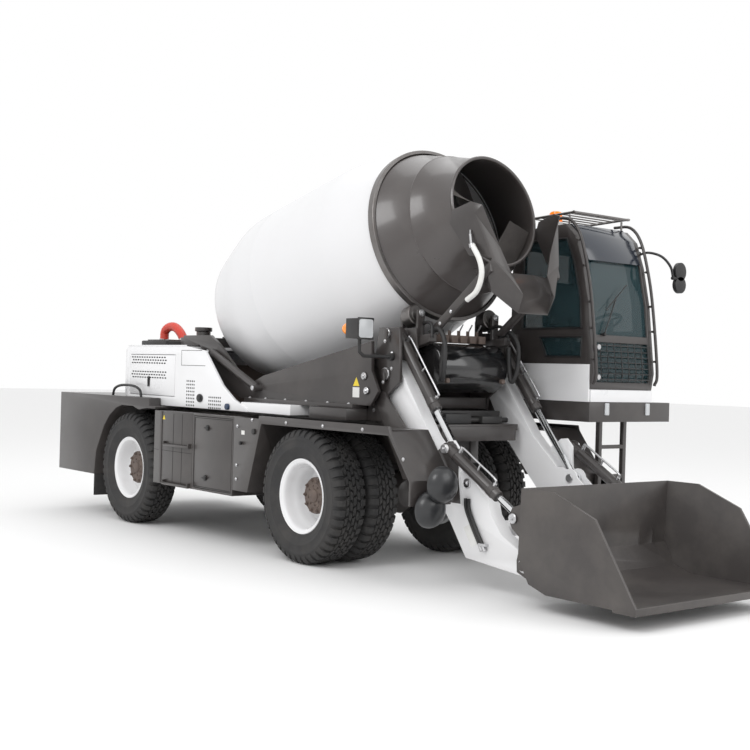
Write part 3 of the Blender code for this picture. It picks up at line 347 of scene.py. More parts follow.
def bolt_ring(place, direction, ring, count, radius=0.011, height=0.009, turn=0.0):
    """Hexagon heads on a circle."""
    base = along(place, Vector(place) + Vector(direction))
    heads = []
    for i in range(count):
        angle = turn + 2 * math.pi * i / count
        spot = base @ Vector((ring * math.cos(angle), ring * math.sin(angle), 0))
        heads += bolt(spot, direction, radius, height)
    return heads


def rounded(low, high, radius, steps=5):
    """Outline of a rectangle with round corners."""
    corners = [(high[0] - radius, high[1] - radius, 0), (low[0] + radius, high[1] - radius, 90),
               (low[0] + radius, low[1] + radius, 180), (high[0] - radius, low[1] + radius, 270)]
    return [(x + radius * math.cos(math.radians(a + 90 * i / steps)),
             y + radius * math.sin(math.radians(a + 90 * i / steps)))
            for x, y, a in corners for i in range(steps + 1)]


def oval(centre, across, up, sides=28):
    """Outline of an ellipse."""
    return [(centre[0] + across * math.cos(2 * math.pi * i / sides),
             centre[1] + up * math.sin(2 * math.pi * i / sides)) for i in range(sides)]


NODE_BODY = {node: body for body, nodes in frame["record"]["behaviour"]["bodies"].items()
             for node in nodes}


def dress(name, body_mesh, material, body, bevel, segments=2):
    """Turns a bmesh into a shown piece that rides on its body."""
    bmesh.ops.remove_doubles(body_mesh, verts=body_mesh.verts, dist=1e-5)
    bmesh.ops.recalc_face_normals(body_mesh, faces=body_mesh.faces)
    mesh = bpy.data.meshes.new(name)
    body_mesh.to_mesh(mesh)
    body_mesh.free()
    mesh.materials.append(material)
    piece = bpy.data.objects.new(name, mesh)
    bpy.context.scene.collection.objects.link(piece)
    if bevel:
        soft = piece.modifiers.new("edges", "BEVEL")
        soft.width = bevel
        soft.segments = segments
        soft.limit_method = "ANGLE"
        soft.angle_limit = math.radians(28.0)
        view = bpy.context.evaluated_depsgraph_get()
        piece.data = bpy.data.meshes.new_from_object(piece.evaluated_get(view))
        piece.modifiers.clear()
        piece.data.name = name
    piece.data.shade_smooth()
    piece.data.set_sharp_from_angle(angle=math.radians(38))
    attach(piece, body)
    return piece


def make(name, shapes, material, body="machine", bevel=0.0, hides=(), segments=2):
    """One piece from (verts, faces) shapes placed in the machine's axes."""
    joined = bmesh.new()
    for verts, faces in shapes:
        made = [joined.verts.new(Vector(v) + ORIGIN) for v in verts]
        for face in faces:
            corners = [made[i] for i in face]
            if len(set(corners)) > 2:
                joined.faces.new(corners)
    piece = dress(name, joined, material, body, bevel, segments)
    if hides:
        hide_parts(*hides)
    return piece


def show(node, shapes, material, bevel=0.0, suffix="_shown"):
    """A piece shown in place of a CAD node, on the node's own body."""
    make(node + suffix, shapes, material, NODE_BODY[node], bevel, (node,))


def soften(node, material, bevel, segments=2):
    """Shows a CAD node as a copy with its coplanar faces joined and its edges rounded."""
    copy = bmesh.new()
    copy.from_mesh(frame["nodes"][node].data)
    bmesh.ops.remove_doubles(copy, verts=copy.verts, dist=2e-5)
    bmesh.ops.dissolve_limit(
        copy, angle_limit=math.radians(0.6), verts=copy.verts, edges=copy.edges)
    piece = dress(node + "_shown", copy, material, NODE_BODY[node], bevel,
                  segments)
    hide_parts(node)
    return piece


# ---------------------------------------------------------------- wheels
def tread():
    """Staggered blocks across the crown and lugs that run over the shoulders."""
    verts, faces = [], []

    def prism(lines):
        start = len(verts)
        count = len(lines[0])
        for line in lines:
            verts.extend(Vector((r * math.sin(a), h, r * math.cos(a))) for a, h, r in line)
        for k in range(count - 1):
            faces.append([start + k, start + k + 1, start + count + k + 1, start + count + k])
        for row in range(1, len(lines) - 1):
            for k in range(count - 1):
                a = start + row * count + k
                faces.append([a, a + 1, a + count + 1, a + count])
        for k in (0, count - 1):
            faces.append([start + row * count + k for row in range(len(lines))])

    pitch_count = 42
    pitch = 2 * math.pi / pitch_count
    top, floor = TYRE_RADIUS - 0.0008, 0.519
    for i in range(pitch_count):
        for row, middle in enumerate((-0.052, -0.0175, 0.0175, 0.052)):
            start = (i + (0.5 if row % 2 else 0.0)) * pitch
            skew = 0.012 if row % 2 else -0.012
            half = 0.0142
            a0, a1 = start, start + pitch * 0.8
            prism([[(a0 - skew, middle - half, floor), (a0 + skew, middle + half, floor)],
                   [(a0 - skew + 0.004, middle - half + 0.002, top),
                    (a0 + skew + 0.004, middle + half - 0.002, top)],
                   [(a1 - skew - 0.004, middle - half + 0.002, top),
                    (a1 + skew - 0.004, middle + half - 0.002, top)],
                   [(a1 - skew, middle - half, floor), (a1 + skew, middle + half, floor)]])
        for side in (-1, 1):
            a0 = (i + 0.25) * pitch
            a1 = a0 + pitch * 0.66
            path = [(0.074, top), (0.112, top - 0.004), (0.13, 0.522), (0.146, 0.497),
                    (0.1485, 0.478)]
            deep = [(0.072, floor), (0.105, floor - 0.002), (0.12, 0.51), (0.138, 0.492),
                    (0.146, 0.476)]
            prism([[(a, side * h, r) for h, r in line]
                   for a, line in ((a0, deep), (a0 + 0.004, path), (a1 - 0.004, path),
                                   (a1, deep))])
    return verts, faces


def tyre(node, x, y):
    """A tyre with ribbed sidewalls and deep tread."""
    half = [
        (0.521, 0.0), (0.521, 0.068), (0.519, 0.095), (0.511, 0.116), (0.497, 0.134),
        (0.48, 0.1445), (0.466, 0.1475), (0.462, 0.15), (0.452, 0.15), (0.448, 0.1478),
        (0.425, 0.1488), (0.398, 0.148), (0.394, 0.1495), (0.386, 0.1493), (0.382, 0.1465),
        (0.36, 0.1405), (0.34, 0.131), (0.322, 0.1215), (0.314, 0.1205), (0.308, 0.1175),
        (0.3045, 0.108), (0.3035, 0.0965), (0.2838, 0.0935)]
    profile = half + [(r, -h) for r, h in reversed(half[1:])]
    spot = Matrix.Translation((x, y, AXLE_Z))
    carcass = lathe(profile, spot @ AXES["Y"], 96, True)
    verts, faces = tread()
    blocks = [spot @ v for v in verts], faces
    show(node, [carcass, blocks], RUBBER, suffix="_treaded")


def hub(x, y, side, face, radius, body, name):
    """Brown-grey hub with a ring of wheel nuts and a bolted cover."""
    spot = Vector((x, y + side * face, AXLE_Z))
    out = (0, side, 0)
    base = along(spot, spot + Vector(out))
    shapes = [lathe([(0, 0.012), (0.045, 0.012), (0.052, 0.008), (0.056, -0.002), (0.098, -0.004),
                     (0.104, -0.01), (radius - 0.006, -0.012), (radius, -0.018),
                     (radius, -0.05), (radius - 0.03, -0.07), (0.1, -0.11)], base, 48)]
    shapes += bolt_ring(spot - Vector(out) * 0.004, out, 0.078, 8, 0.008, 0.008, 0.2)
    make(name + "_hub", shapes, CAST, body)
    make(name + "_nuts", bolt_ring(spot - Vector(out) * 0.014, out, radius - 0.022, 10, 0.0145,
                                   0.018), CAST, body)


def front_rims(name, side):
    """Two deep white rims back to back, the outer one with its hub in the dish."""
    node = "front_rims_" + name
    outer = [
        (0.11, 0.06), (0.135, 0.058), (0.15, 0.04), (0.178, 0.03), (0.212, 0.03), (0.232, 0.036),
        (0.24, 0.052), (0.246, 0.1), (0.247, 0.15), (0.252, 0.158), (0.257, 0.205), (0.26, 0.245),
        (0.266, 0.262), (0.276, 0.27), (0.284, 0.272), (0.291, 0.279), (0.299, 0.28),
        (0.3025, 0.276), (0.302, 0.266), (0.29, 0.261), (0.283, 0.255), (0.283, 0.068),
        (0.302, 0.06), (0.3025, 0.05), (0.296, 0.046), (0.262, 0.044), (0.25, 0.03), (0.244, 0.0)]
    profile = outer + [(r, -h) for r, h in reversed(outer[:-1])]
    y = side * TWIN_MIDDLE_Y
    place = along((0, y, AXLE_Z), (0, y + side, AXLE_Z))
    show(node, [lathe(profile, place, 64)], WHITE)
    hub(0, y, side, 0.152, 0.148, "front_wheels_" + name, "front_" + name)
    inner = [(0.15, -0.045), (0.15, -0.085), (0.11, -0.095), (0.0, -0.096)]
    make("front_drum_" + name, [lathe(inner, place, 40)], CAST, "front_wheels_" + name)


def rear_rim(name, side):
    """Single white rim with its hub near the outer face."""
    node = "rear_rim_" + name
    profile = [
        (0.12, -0.012), (0.16, -0.018), (0.186, -0.034), (0.205, -0.04), (0.232, -0.04),
        (0.244, -0.026), (0.252, 0.01), (0.258, 0.06), (0.264, 0.094), (0.274, 0.107),
        (0.284, 0.109), (0.291, 0.115), (0.299, 0.117), (0.3025, 0.113), (0.302, 0.103),
        (0.29, 0.099), (0.283, 0.093), (0.283, -0.093), (0.302, -0.101), (0.302, -0.115),
        (0.292, -0.116), (0.262, -0.105), (0.24, -0.075), (0.2, -0.06), (0.1, -0.058)]
    y = side * REAR_WHEEL_Y
    x = -WHEELBASE
    place = along((x, y, AXLE_Z), (x, y + side, AXLE_Z))
    show(node, [lathe(profile, place, 64)], WHITE)
    hub(x, y, side, 0.03, 0.158, "rear_wheel_" + name, "rear_" + name)


def wheels():
    """Rims, hubs and treaded tyres, twins in front and singles at the rear."""
    for name, side in SIDES:
        front_rims(name, side)
        rear_rim(name, side)
        tyre("front_outer_tyre_" + name, 0, side * (TWIN_MIDDLE_Y + TWIN_OFFSET))
        tyre("front_inner_tyre_" + name, 0, side * (TWIN_MIDDLE_Y - TWIN_OFFSET))
        tyre("rear_tyre_" + name, -WHEELBASE, side * REAR_WHEEL_Y)


# ---------------------------------------------------------------- drum
def drum_place():
    """Frame of the drum: zero in its roller ring, Z along its axis to the mouth."""
    return Matrix.Translation(DRUM_RING) @ Matrix.Rotation(math.pi / 2 - DRUM_TILT, 4, "Y")


DRUM_WAY = drum_place().to_3x3() @ Vector((0, 0, 1))     # towards the mouth


def drum():
    """Shell with weld beads, roller track, mouth cone with rolled lip, blades, rollers."""
    place = drum_place()
    bead = 0.0008

    def weld(s, r, slope=0.0):
        return [(r - slope, s - 0.01), (r + bead, s - 0.005), (r + bead, s + 0.005),
                (r + slope, s + 0.01)]

    profile = [(0.0, -2.56), (0.16, -2.553), (0.25, -2.545), (0.38, -2.525), (0.5, -2.5),
               (0.6, -2.474), (0.655, -2.455), (0.67, -2.447), (0.679, -2.436)]
    profile += [(0.6895, -2.4), (0.7055, -2.35), (0.75, -2.2), (0.778, -2.1), (0.798, -2.03),
                (0.8115, -1.975), (0.82, -1.92), (0.825, -1.85), (0.8268, -1.76)]
    profile += weld(-1.6, 0.827) + [(0.827, -0.66), (0.8262, -0.6), (0.824, -0.55)]
    profile += [(0.819, -0.5), (0.81, -0.45), (0.795, -0.386), (0.76, -0.25), (0.701, -0.025)]
    inside = [(0.687, -0.001), (0.818, -0.51), (0.818, -1.94), (0.668, -2.43), (0.49, -2.49),
              (0.0, -2.55)]
    make("drum_shell", [lathe(profile + inside, place, 128)], DRUM_WHITE, "drum",
         hides=("drum_body",))
    track = [(0.69, -0.032), (0.722, -0.032), (0.725, -0.029), (0.725, 0.029), (0.722, 0.032),
             (0.698, 0.032)]
    make("drum_track", [lathe(track, place, 128, True)], BRUSH_STEEL, "drum")
    cone = [
        (0.697, 0.002), (0.697, 0.012), (0.69, 0.016), (0.575, 0.292), (0.578, 0.296),
        (0.577, 0.304), (0.571, 0.308), (0.443, 0.612), (0.445, 0.628), (0.4515, 0.636),
        (0.453, 0.648), (0.447, 0.656), (0.437, 0.657), (0.428, 0.65), (0.425, 0.636),
        (0.4275, 0.62), (0.687, 0.004)]
    make("drum_cone", [lathe(cone, place, 128, True)], CONE_GREY, "drum",
         hides=("drum_mouth_cone",))
    for number, start in enumerate((-1.22, math.pi - 1.22)):
        node = "drum_blade_%d" % (number + 1)
        show(node, [spiral(start)], BLADE_GREY)
    for name, side in SIDES:
        node = "drum_roller_" + name
        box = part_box(node)
        centre = (box[0] + box[1]) / 2 - ORIGIN
        spot = along(centre, centre + DRUM_WAY)
        wheel = both_ways([(0.0187, -0.05), (0.045, -0.05), (0.048, -0.044), (0.074, -0.044),
                           (0.08, -0.05), (0.0846, -0.046)])
        show(node, [lathe(wheel, spot, 48, True)], BRUSH_STEEL)
    gears = [(0.06, -2.5665), (0.15, -2.567), (0.15, -2.585), (0.195, -2.59), (0.212, -2.6),
             (0.215, -2.62), (0.215, -2.66), (0.205, -2.665), (0.205, -2.715), (0.215, -2.72),
             (0.215, -2.74), (0.175, -2.75), (0.135, -2.78), (0.125, -2.8), (0.105, -2.81),
             (0.105, -2.93), (0.095, -2.95), (0.0, -2.95)]
    foot = block((-2.36, -0.24, 1.8325), (-2.18, 0.24, 2.0))
    shapes = [lathe(gears, place, 48)]
    start = place @ Vector((0, 0, -2.6))
    shapes += bolt_ring(start, -DRUM_WAY, 0.198, 16, 0.009, 0.012)
    make("drum_drive", shapes, CAST, hides=("drum_gearbox",))
    make("drum_drive_foot", [foot], CAST, bevel=0.008)


def spiral(start):
    """One blade: a thick strip that follows the shell, with a rolled inner edge."""
    turns, steps, first, last = 1.4, 150, -2.3, MOUTH_S - 0.06
    shell = DRUM_SHELL + [(MOUTH_S - 0.03, MOUTH_R)]

    def radius(s):
        for (s0, r0), (s1, r1) in zip(shell, shell[1:]):
            if s <= s1:
                return r0 + (r1 - r0) * (s - s0) / (s1 - s0)
        return shell[-1][1]

    place = drum_place()
    verts = []
    for i in range(steps + 1):
        s = first + (last - first) * i / steps
        angle = start + 2 * math.pi * turns * i / steps
        outer = radius(s) - 0.019
        section = [
            (outer, 0.004), (outer - 0.224, 0.032), (outer - 0.231, 0.037), (outer - 0.24, 0.036),
            (outer - 0.242, 0.028), (outer - 0.235, 0.023), (outer, -0.004)]
        verts += [place @ Vector((r * math.cos(angle), r * math.sin(angle), s + d))
                  for r, d in section]
    count = len(section)
    faces = skin(steps + 1, count)
    faces.append(list(range(count)))
    faces.append([steps * count + k for k in range(count)])
    return verts, faces


# ---------------------------------------------------------------- the whole
def plain_nodes():
    """CAD nodes whose shape is right: the same faces with rounded edges and a finish."""
    plans = [(GREY, 0.004, ("chassis_frame", "front_axle", "rear_axle", "fuel_tank", "left_tank",
                            "toolbox", "toolbox_door", "lift_tower", "drum_cradle",
                            "cab_platform", "front_mudguard_left", "front_mudguard_right")),
             (GREY, 0.012, ("counterweight",)),
             (GREY, 0.0025, ("feed_hopper",)),
             (GREY, 0.01, ("cab_shell", "cab_door")),
             (WHITE, 0.006, ("engine_hood", "cab_base")),
             (WHITE, 0.003, ("hood_door_left", "hood_door_right", "loading_arms")),
             (BLACK_GLOSS, 0.012, ("front_tank",)),
             (CAST, 0.004, ("steering_knuckle_left", "steering_knuckle_right", "engine_block")),
             (BUCKET, 0.003, ("loading_bucket",)),
             (GLASS, 0.0, ("windscreen", "lower_front_window", "right_window", "rear_window",
                           "door_window")),
             ]
    for material, bevel, nodes in plans:
        for node in nodes:
            soften(node, material, bevel)


def cylinders():
    """Painted barrels and chromed rods."""
    for kind in ("lift", "tilt"):
        for name, side in SIDES:
            soften(kind + "_barrel_" + name, GREY, 0.002)
            soften(kind + "_rod_" + name, CHROME, 0.0015)


# ---------------------------------------------------------------- details
def mirrored(shapes):
    """The shapes with their images on the other side."""
    return shapes + [([Vector((v[0], -v[1], v[2])) for v in verts], faces)
                     for verts, faces in shapes]


def on_side(outline, side, y, proud=0.0015):
    """A thin plate on a side face of the machine; the outline is in X and Z."""
    return slab(outline, "Y", *sorted((side * y, side * (y + proud))))


def bead(ring, y, radius):
    """A round seal along a closed outline, in X and Z, on a side face."""
    return [rod((x0, y, z0), (x1, y, z1), radius, 8)
            for (x0, z0), (x1, z1) in zip(ring, ring[1:] + ring[:1])]


def hood_details():
    """Slots and vents (dark plates of painted shade), latches, caps and hoops of both sides, and
    what stands on the hood.
    """
    for name, side in SIDES:
        # The slots are dark plates on the hood face: painted shade where the slots are deep.
        slots = []
        for row, z in enumerate((1.632, 1.604, 1.576, 1.49, 1.462, 1.434)):
            for k in range(14):
                x = -3.1 + 0.05 * k + (0.02 if row % 2 else 0.0)
                slots.append(on_side(rounded((x - 0.015, z - 0.006), (x + 0.015, z + 0.006),
                                             0.0055, 3), side, HOOD_FACE))
        make("hood_slot_painted_shade_" + name, slots, OPENING_SHADE_AND_SEAMS, "hood_door_" + name)
        latch = [
            on_side(rounded((-2.775, 1.345), (-2.735, 1.445), 0.008, 3), side, HOOD_FACE, 0.006),
            on_side(rounded((-2.766, 1.365), (-2.744, 1.43), 0.006, 3), side, 0.906, 0.006)]
        make("hood_latch_" + name, latch, BLACK, "hood_door_" + name)
        seams = [on_side(rectangle(low, high), side, HOOD_FACE, THIN) for low, high in (
            ((-2.13, 1.56), (-1.7, 1.564)), ((-2.13, 1.7), (-1.76, 1.704)),
            ((-2.134, 1.56), (-2.13, 1.704)))]
        # Each vent hole is a dark dot, painted shade inside the hole; the lines above are real
        # dark seams.
        for x0, x1, z0, z1 in ((-2.03, -1.85, 1.18, 1.46), (-1.63, -1.4, 1.17, 1.31)):
            for i in range(int((x1 - x0) / 0.032)):
                for k in range(int((z1 - z0) / 0.032)):
                    x, z = x0 + 0.032 * i + 0.012, z0 + 0.032 * k + 0.012
                    seams.append(on_side(oval((x, z), 0.009, 0.009, 8), side, HOOD_FACE, THIN))
        make("hood_vent_shade_and_seams_" + name, seams, OPENING_SHADE_AND_SEAMS)
        caps = [on_side(oval((-1.775, 1.265), 0.05, 0.038), side, HOOD_FACE, 0.012),
                on_side(oval((-1.775, 1.265), 0.032, 0.022), side, 0.912, 0.008)]
        make("hood_filler_" + name, caps, BLACK, bevel=0.002)
        make("hood_cap_" + name, [across(-1.29, 1.205, side * HOOD_FACE, side * 0.925, 0.028)],
             BLUE)
        hoop = [
            (-3.4, side * 0.955, 1.24), (-3.36, side * 0.955, 1.31), (-3.22, side * 0.955, 1.345),
            (-2.98, side * 0.955, 1.345), (-2.84, side * 0.955, 1.31), (-2.8, side * 0.955, 1.24)]
        make("hood_hoop_" + name, [tube(hoop, 0.013)], BLACK)
    lip = mirrored([block((HOOD[0], 0.885, 1.7395), (-2.06, 0.9, 1.752))])
    make("hood_lips", lip, WHITE, bevel=0.003)
    top = [block((-3.12, -0.8, 1.741), (-2.62, 0.8, 1.8)),
           block((-2.56, 0.05, 1.741), (-2.44, 0.7, 1.86)),
           block((-3.05, 0.1, 1.8), (-2.7, 0.62, 1.875))]
    make("hood_top_boxes", top, BLACK, bevel=0.012)
    fins = [block((-3.1 + 0.045 * k, -0.74, 1.8), (-3.075 + 0.045 * k, -0.12, 1.812))
            for k in range(10)]
    fins += [rod((-2.5, -0.45, 1.741), (-2.5, -0.45, 1.9), 0.07),
             rod((-2.5, -0.45, 1.9), (-2.5, -0.45, 1.94), 0.085)]
    make("air_intake", fins, GREY, bevel=0.003)
    make("exhaust_pipe", [rod((-2.9, 0.74, 1.8), (-2.9, 0.74, 1.96), 0.035),
                          tube([(-2.9, 0.74, 1.95), (-2.92, 0.74, 2.0), (-2.99, 0.74, 2.03)],
                               0.03, 16)], BRUSH_STEEL)
    red = [(-3.1, -0.55, 1.8), (-3.09, -0.55, 1.9), (-3.0, -0.55, 1.945),
           (-2.88, -0.55, 1.94), (-2.77, -0.55, 1.88), (-2.7, -0.55, 1.8)]
    make("red_elbow", [tube(red, 0.043, 20, 8, 0.002)], RED_HOSE)
    clamps = [rod((-3.105, -0.55, 1.8), (-3.102, -0.55, 1.828), 0.05),
              rod((-2.712, -0.55, 1.8), (-2.722, -0.55, 1.822), 0.05)]
    make("elbow_clamps", clamps, STEEL)


def box_details():
    """Steps, seams, caps, latches, bolts, signs and flaps along the sides."""
    steps = []
    for z in (0.805, 0.445):
        steps += [block((-2.17, -1.057, z), (-1.7, -BOX_FACE, z + 0.022)),
                  block((-2.17, -1.057, z + 0.022), (-2.155, -1.03, z + 0.045)),
                  block((-1.715, -1.057, z + 0.022), (-1.7, -1.03, z + 0.045))]
        steps += [
            block((-2.15 + 0.03 * k, -1.057, z + 0.022), (-2.138 + 0.03 * k, -1.032, z + 0.027))
            for k in range(15)]
    make("side_steps", steps, GREY, bevel=0.002)
    seam = [block((x, -1.0312, 0.47), (x + 0.004, -BOX_FACE, 1.11)) for x in (-2.02, -1.86)]
    seam += [block((-2.372, -1.0312, 0.76), (-1.68, -BOX_FACE, 0.763))]
    make("tank_seams", seam, OPENING_SHADE_AND_SEAMS)
    straps = mirrored([block((-2.28, BOX_FACE, 0.455), (-2.28 + 0.05, 1.034, 1.125))])
    make("tank_straps", straps, GREY, bevel=0.001)
    cap = lathe([(0, 0.045), (0.05, 0.045), (0.055, 0.04), (0.055, 0.0), (0, 0)],
                along((-1.9, 0.92, 1.13), (-1.9, 0.92, 1.2)), 24)
    make("tank_cap", [cap], BLACK)
    for x, z in ((-1.41, 1.012), (-1.43, 0.565)):
        handle = [across(x, z, -BOX_FACE, -1.042, 0.026, 24),
                  block((x - 0.034, -1.052, z - 0.007), (x + 0.034, -1.042, z + 0.007))]
        make("toolbox_latch_%d" % round(z * 1000), handle, BLACK, "toolbox_door", bevel=0.002)
    frame_lines = [
        block((-1.635, -1.0316, 0.478), (-1.02, -BOX_FACE, 0.482)),
        block((-1.635, -1.0316, 1.092), (-1.02, -BOX_FACE, 1.096)),
        block((-1.635, -1.0316, 0.478), (-1.631, -BOX_FACE, 1.096))]
    make("toolbox_seal", frame_lines, OPENING_SHADE_AND_SEAMS, "toolbox_door")
    heads = []
    for x, z in ((-0.925, 1.054), (-0.925, 0.72), (-0.925, 0.6), (-0.7, 1.118), (-0.2, 1.118),
                 (0.3, 1.118), (0.8, 1.118)):
        heads += mirrored(bolt((x, BOX_FACE, z), (0, 1, 0), 0.01, 0.008))
    heads += bolt((1.28, -BOX_FACE, 0.93), (0, -1, 0), 0.01, 0.008)
    make("side_bolts", heads, STEEL)
    socket = [across(-0.666, 1.02, -BOX_FACE, -1.045, 0.024),
              across(-0.86, 0.912, -BOX_FACE, -1.05, 0.015)]
    make("side_sockets", socket, BLACK, bevel=0.002)
    labels = [on_side(rectangle((-0.86, 0.985), (-0.81, 1.02)), -1, BOX_FACE, THIN)]
    make("side_label", labels, LABEL)
    tri = [on_side([(-2.225, 1.05), (-2.175, 1.05), (-2.2, 1.092)], -1, BOX_FACE, THIN),
           on_side([(0.285, 1.435), (0.365, 1.435), (0.325, 1.505)], -1, CRADLE_FACE, THIN)]
    make("yellow_signs", tri, YELLOW)
    make("cradle_label", [on_side(rectangle((0.282, 1.345), (0.368, 1.425)),
                                  -1, CRADLE_FACE, THIN)], LABEL)
    flaps = mirrored([block((-3.648, 0.69, 0.2), (-3.636, 1.02, 0.66))])
    make("rear_flaps", flaps, RUBBER, bevel=0.003)


def rear_details():
    """Lamps, grille and plate on the rear face, and the drive line below."""
    lamps, reds, whites = [], [], []
    for side in (-1, 1):
        y = side * 0.82
        lamps.append(block((REAR_FACE, y - 0.14, 0.93), (-4.463, y + 0.14, 1.05)))
        for k, kind in ((-0.085, reds), (0.0, reds), (0.085, whites)):
            kind.append(lathe([(0, 0.005), (0.02, 0.004), (0.034, 0.0), (0.034, -0.004)],
                              along((REAR_FACE, y + k, 0.99), (-4.6, y + k, 0.99)), 20))
    lamps += [block((-4.4716, -0.42, 0.52), (-4.466, 0.42, 1.04))]
    make("rear_lamp_plates", lamps, BLACK, bevel=0.002)
    make("tail_lenses", reds, RED_LENS)
    make("reverse_lenses", whites, CLEAR)
    bars = [block((-4.4755, -0.4, 0.545 + 0.04 * k), (-4.4715, 0.4, 0.562 + 0.04 * k))
            for k in range(12)]
    make("rear_grille", bars, GREY, bevel=0.001)
    make("rear_plate", [block((-4.476, 0.48, 0.6), (-4.4702, 0.68, 0.72))], LABEL, bevel=0.002)
    under = [rod((-2.944 + 0.12, 0.0, 0.6), (-1.3, 0.0, 0.72), 0.045),
             rod((-1.3, 0.0, 0.72), (-0.16, 0.0, 0.6), 0.045),
             rod((-1.38, 0.0, 0.72), (-1.22, 0.0, 0.72), 0.085)]
    make("drive_shaft", under, CAST)
    box = [block((-1.6, -0.2, 0.76), (-1.25, 0.2, 0.82))]
    make("transfer_mount", box, CAST, bevel=0.006)


def tower_details():
    """Pins, bolts, beams, hoses and the valve block around the lift towers."""
    steel, dark = [], []
    for side in (-1, 1):
        for (x, z), r in ((LIFT_BASE, 0.034), (ARM_PIVOT, 0.05)):
            steel.append(across(x, z, side * 0.6505, side * 0.672, r, 32, 0.004))
            plate = rounded((x - 0.018, z - 0.085), (x + 0.018, z + 0.012), 0.015, 3)
            dark.append(on_side(plate, side, 0.6752, 0.006))
            steel += bolt((x, side * 0.6812, z - 0.065), (0, side, 0), 0.01, 0.008)
        for x, z in ((0.435, 1.515), (0.47, 1.4)):
            steel.append(across(x, z, side * CRADLE_FACE, side * 0.752, 0.03, 32, 0.005))
            steel += bolt((x, side * 0.752, z), (0, side, 0), 0.013, 0.01)
        for x, z in ((-1.8, 1.69), (-1.03, 1.38)):
            steel.append(across(x, z, side * 0.8202, side * 0.828, 0.022, 24, 0.003))
        for x, z in ((0.46, 1.25), (0.46, 1.45), (0.66, 1.7), (0.66, 1.58)):
            steel += bolt((x, side * 0.6502, z), (0, side, 0), 0.01, 0.008)
        for x in (-1.15, -0.9, -0.6, -0.3, 0.0, 0.28):
            steel += bolt((x, side * 0.765, 1.2902), (0, 0, 1), 0.011, 0.009)
    make("tower_pins", steel, STEEL)
    make("pin_keepers", dark, GREY, bevel=0.001)
    beam = [(0.46, 1.4), (0.6, 1.4), (1.2, 0.8), (1.17, 0.745), (0.86, 0.74), (0.62, 1.12)]
    beams = mirrored([slab(beam, "Y", 0.652, 0.672)])
    make("diagonal_beams", beams, GREY, bevel=0.002)
    make("beam_reflectors", mirrored([on_side(rounded((0.765, 0.99), (0.785, 1.075), 0.006, 3), 1,
                                              0.6722, 0.002)]), RED)
    make("beam_label", mirrored([on_side(rounded((0.9, 0.8), (0.96, 0.85), 0.004, 3), 1, 0.6722,
                                         THIN)]), LABEL)
    loops = []
    for y in (-0.38, 0.38):
        loops.append(tube([(0.8, y, 1.86), (0.9, y * 1.02, 1.9), (0.985, y * 1.05, 1.8),
                           (0.99, y * 1.05, 1.62), (0.95, y, 1.5), (0.925, y * 0.97, 1.6),
                           (0.93, y * 0.92, 1.78)], 0.018, 10, 8, 0.0025))
        loops.append(tube([(0.66, y, 1.905), (0.74, y, 1.95), (0.83, y * 1.05, 1.93),
                           (0.86, y * 1.1, 1.83)], 0.013, 10, 6, 0.001))
    make("tower_hoses", loops, HOSE)
    valves = []
    for y in (-0.2, -0.1, 0.0, 0.1, 0.2):
        valves += [block((0.64, y - 0.035, 1.8), (0.78, y + 0.035, 1.86)),
                   rod((0.71, y, 1.86), (0.71, y, 1.9), 0.014, 12)]
    valves += [rod((0.9, -0.3, 1.5), (0.935, -0.3, 1.5), 0.02, 16),
               rod((0.9, 0.3, 1.5), (0.935, 0.3, 1.5), 0.02, 16)]
    make("valve_block", valves, CAST, bevel=0.003)
    make("valve_handles", [rod((0.72, y, 1.895), (0.76, y, 1.95), 0.006, 10)
                           for y in (-0.2, -0.1, 0.0, 0.1, 0.2)], STEEL)
    clutter = [block((0.62, -0.4, 1.17), (0.8, 0.4, 1.26)),
               block((0.8, -0.32, 1.165), (0.94, -0.05, 1.24)),
               block((0.8, 0.08, 1.165), (0.93, 0.3, 1.22)),
               across(0.88, 1.19, -0.4, 0.4, 0.022, 12)]
    make("front_underside", clutter, BLACK, bevel=0.006)


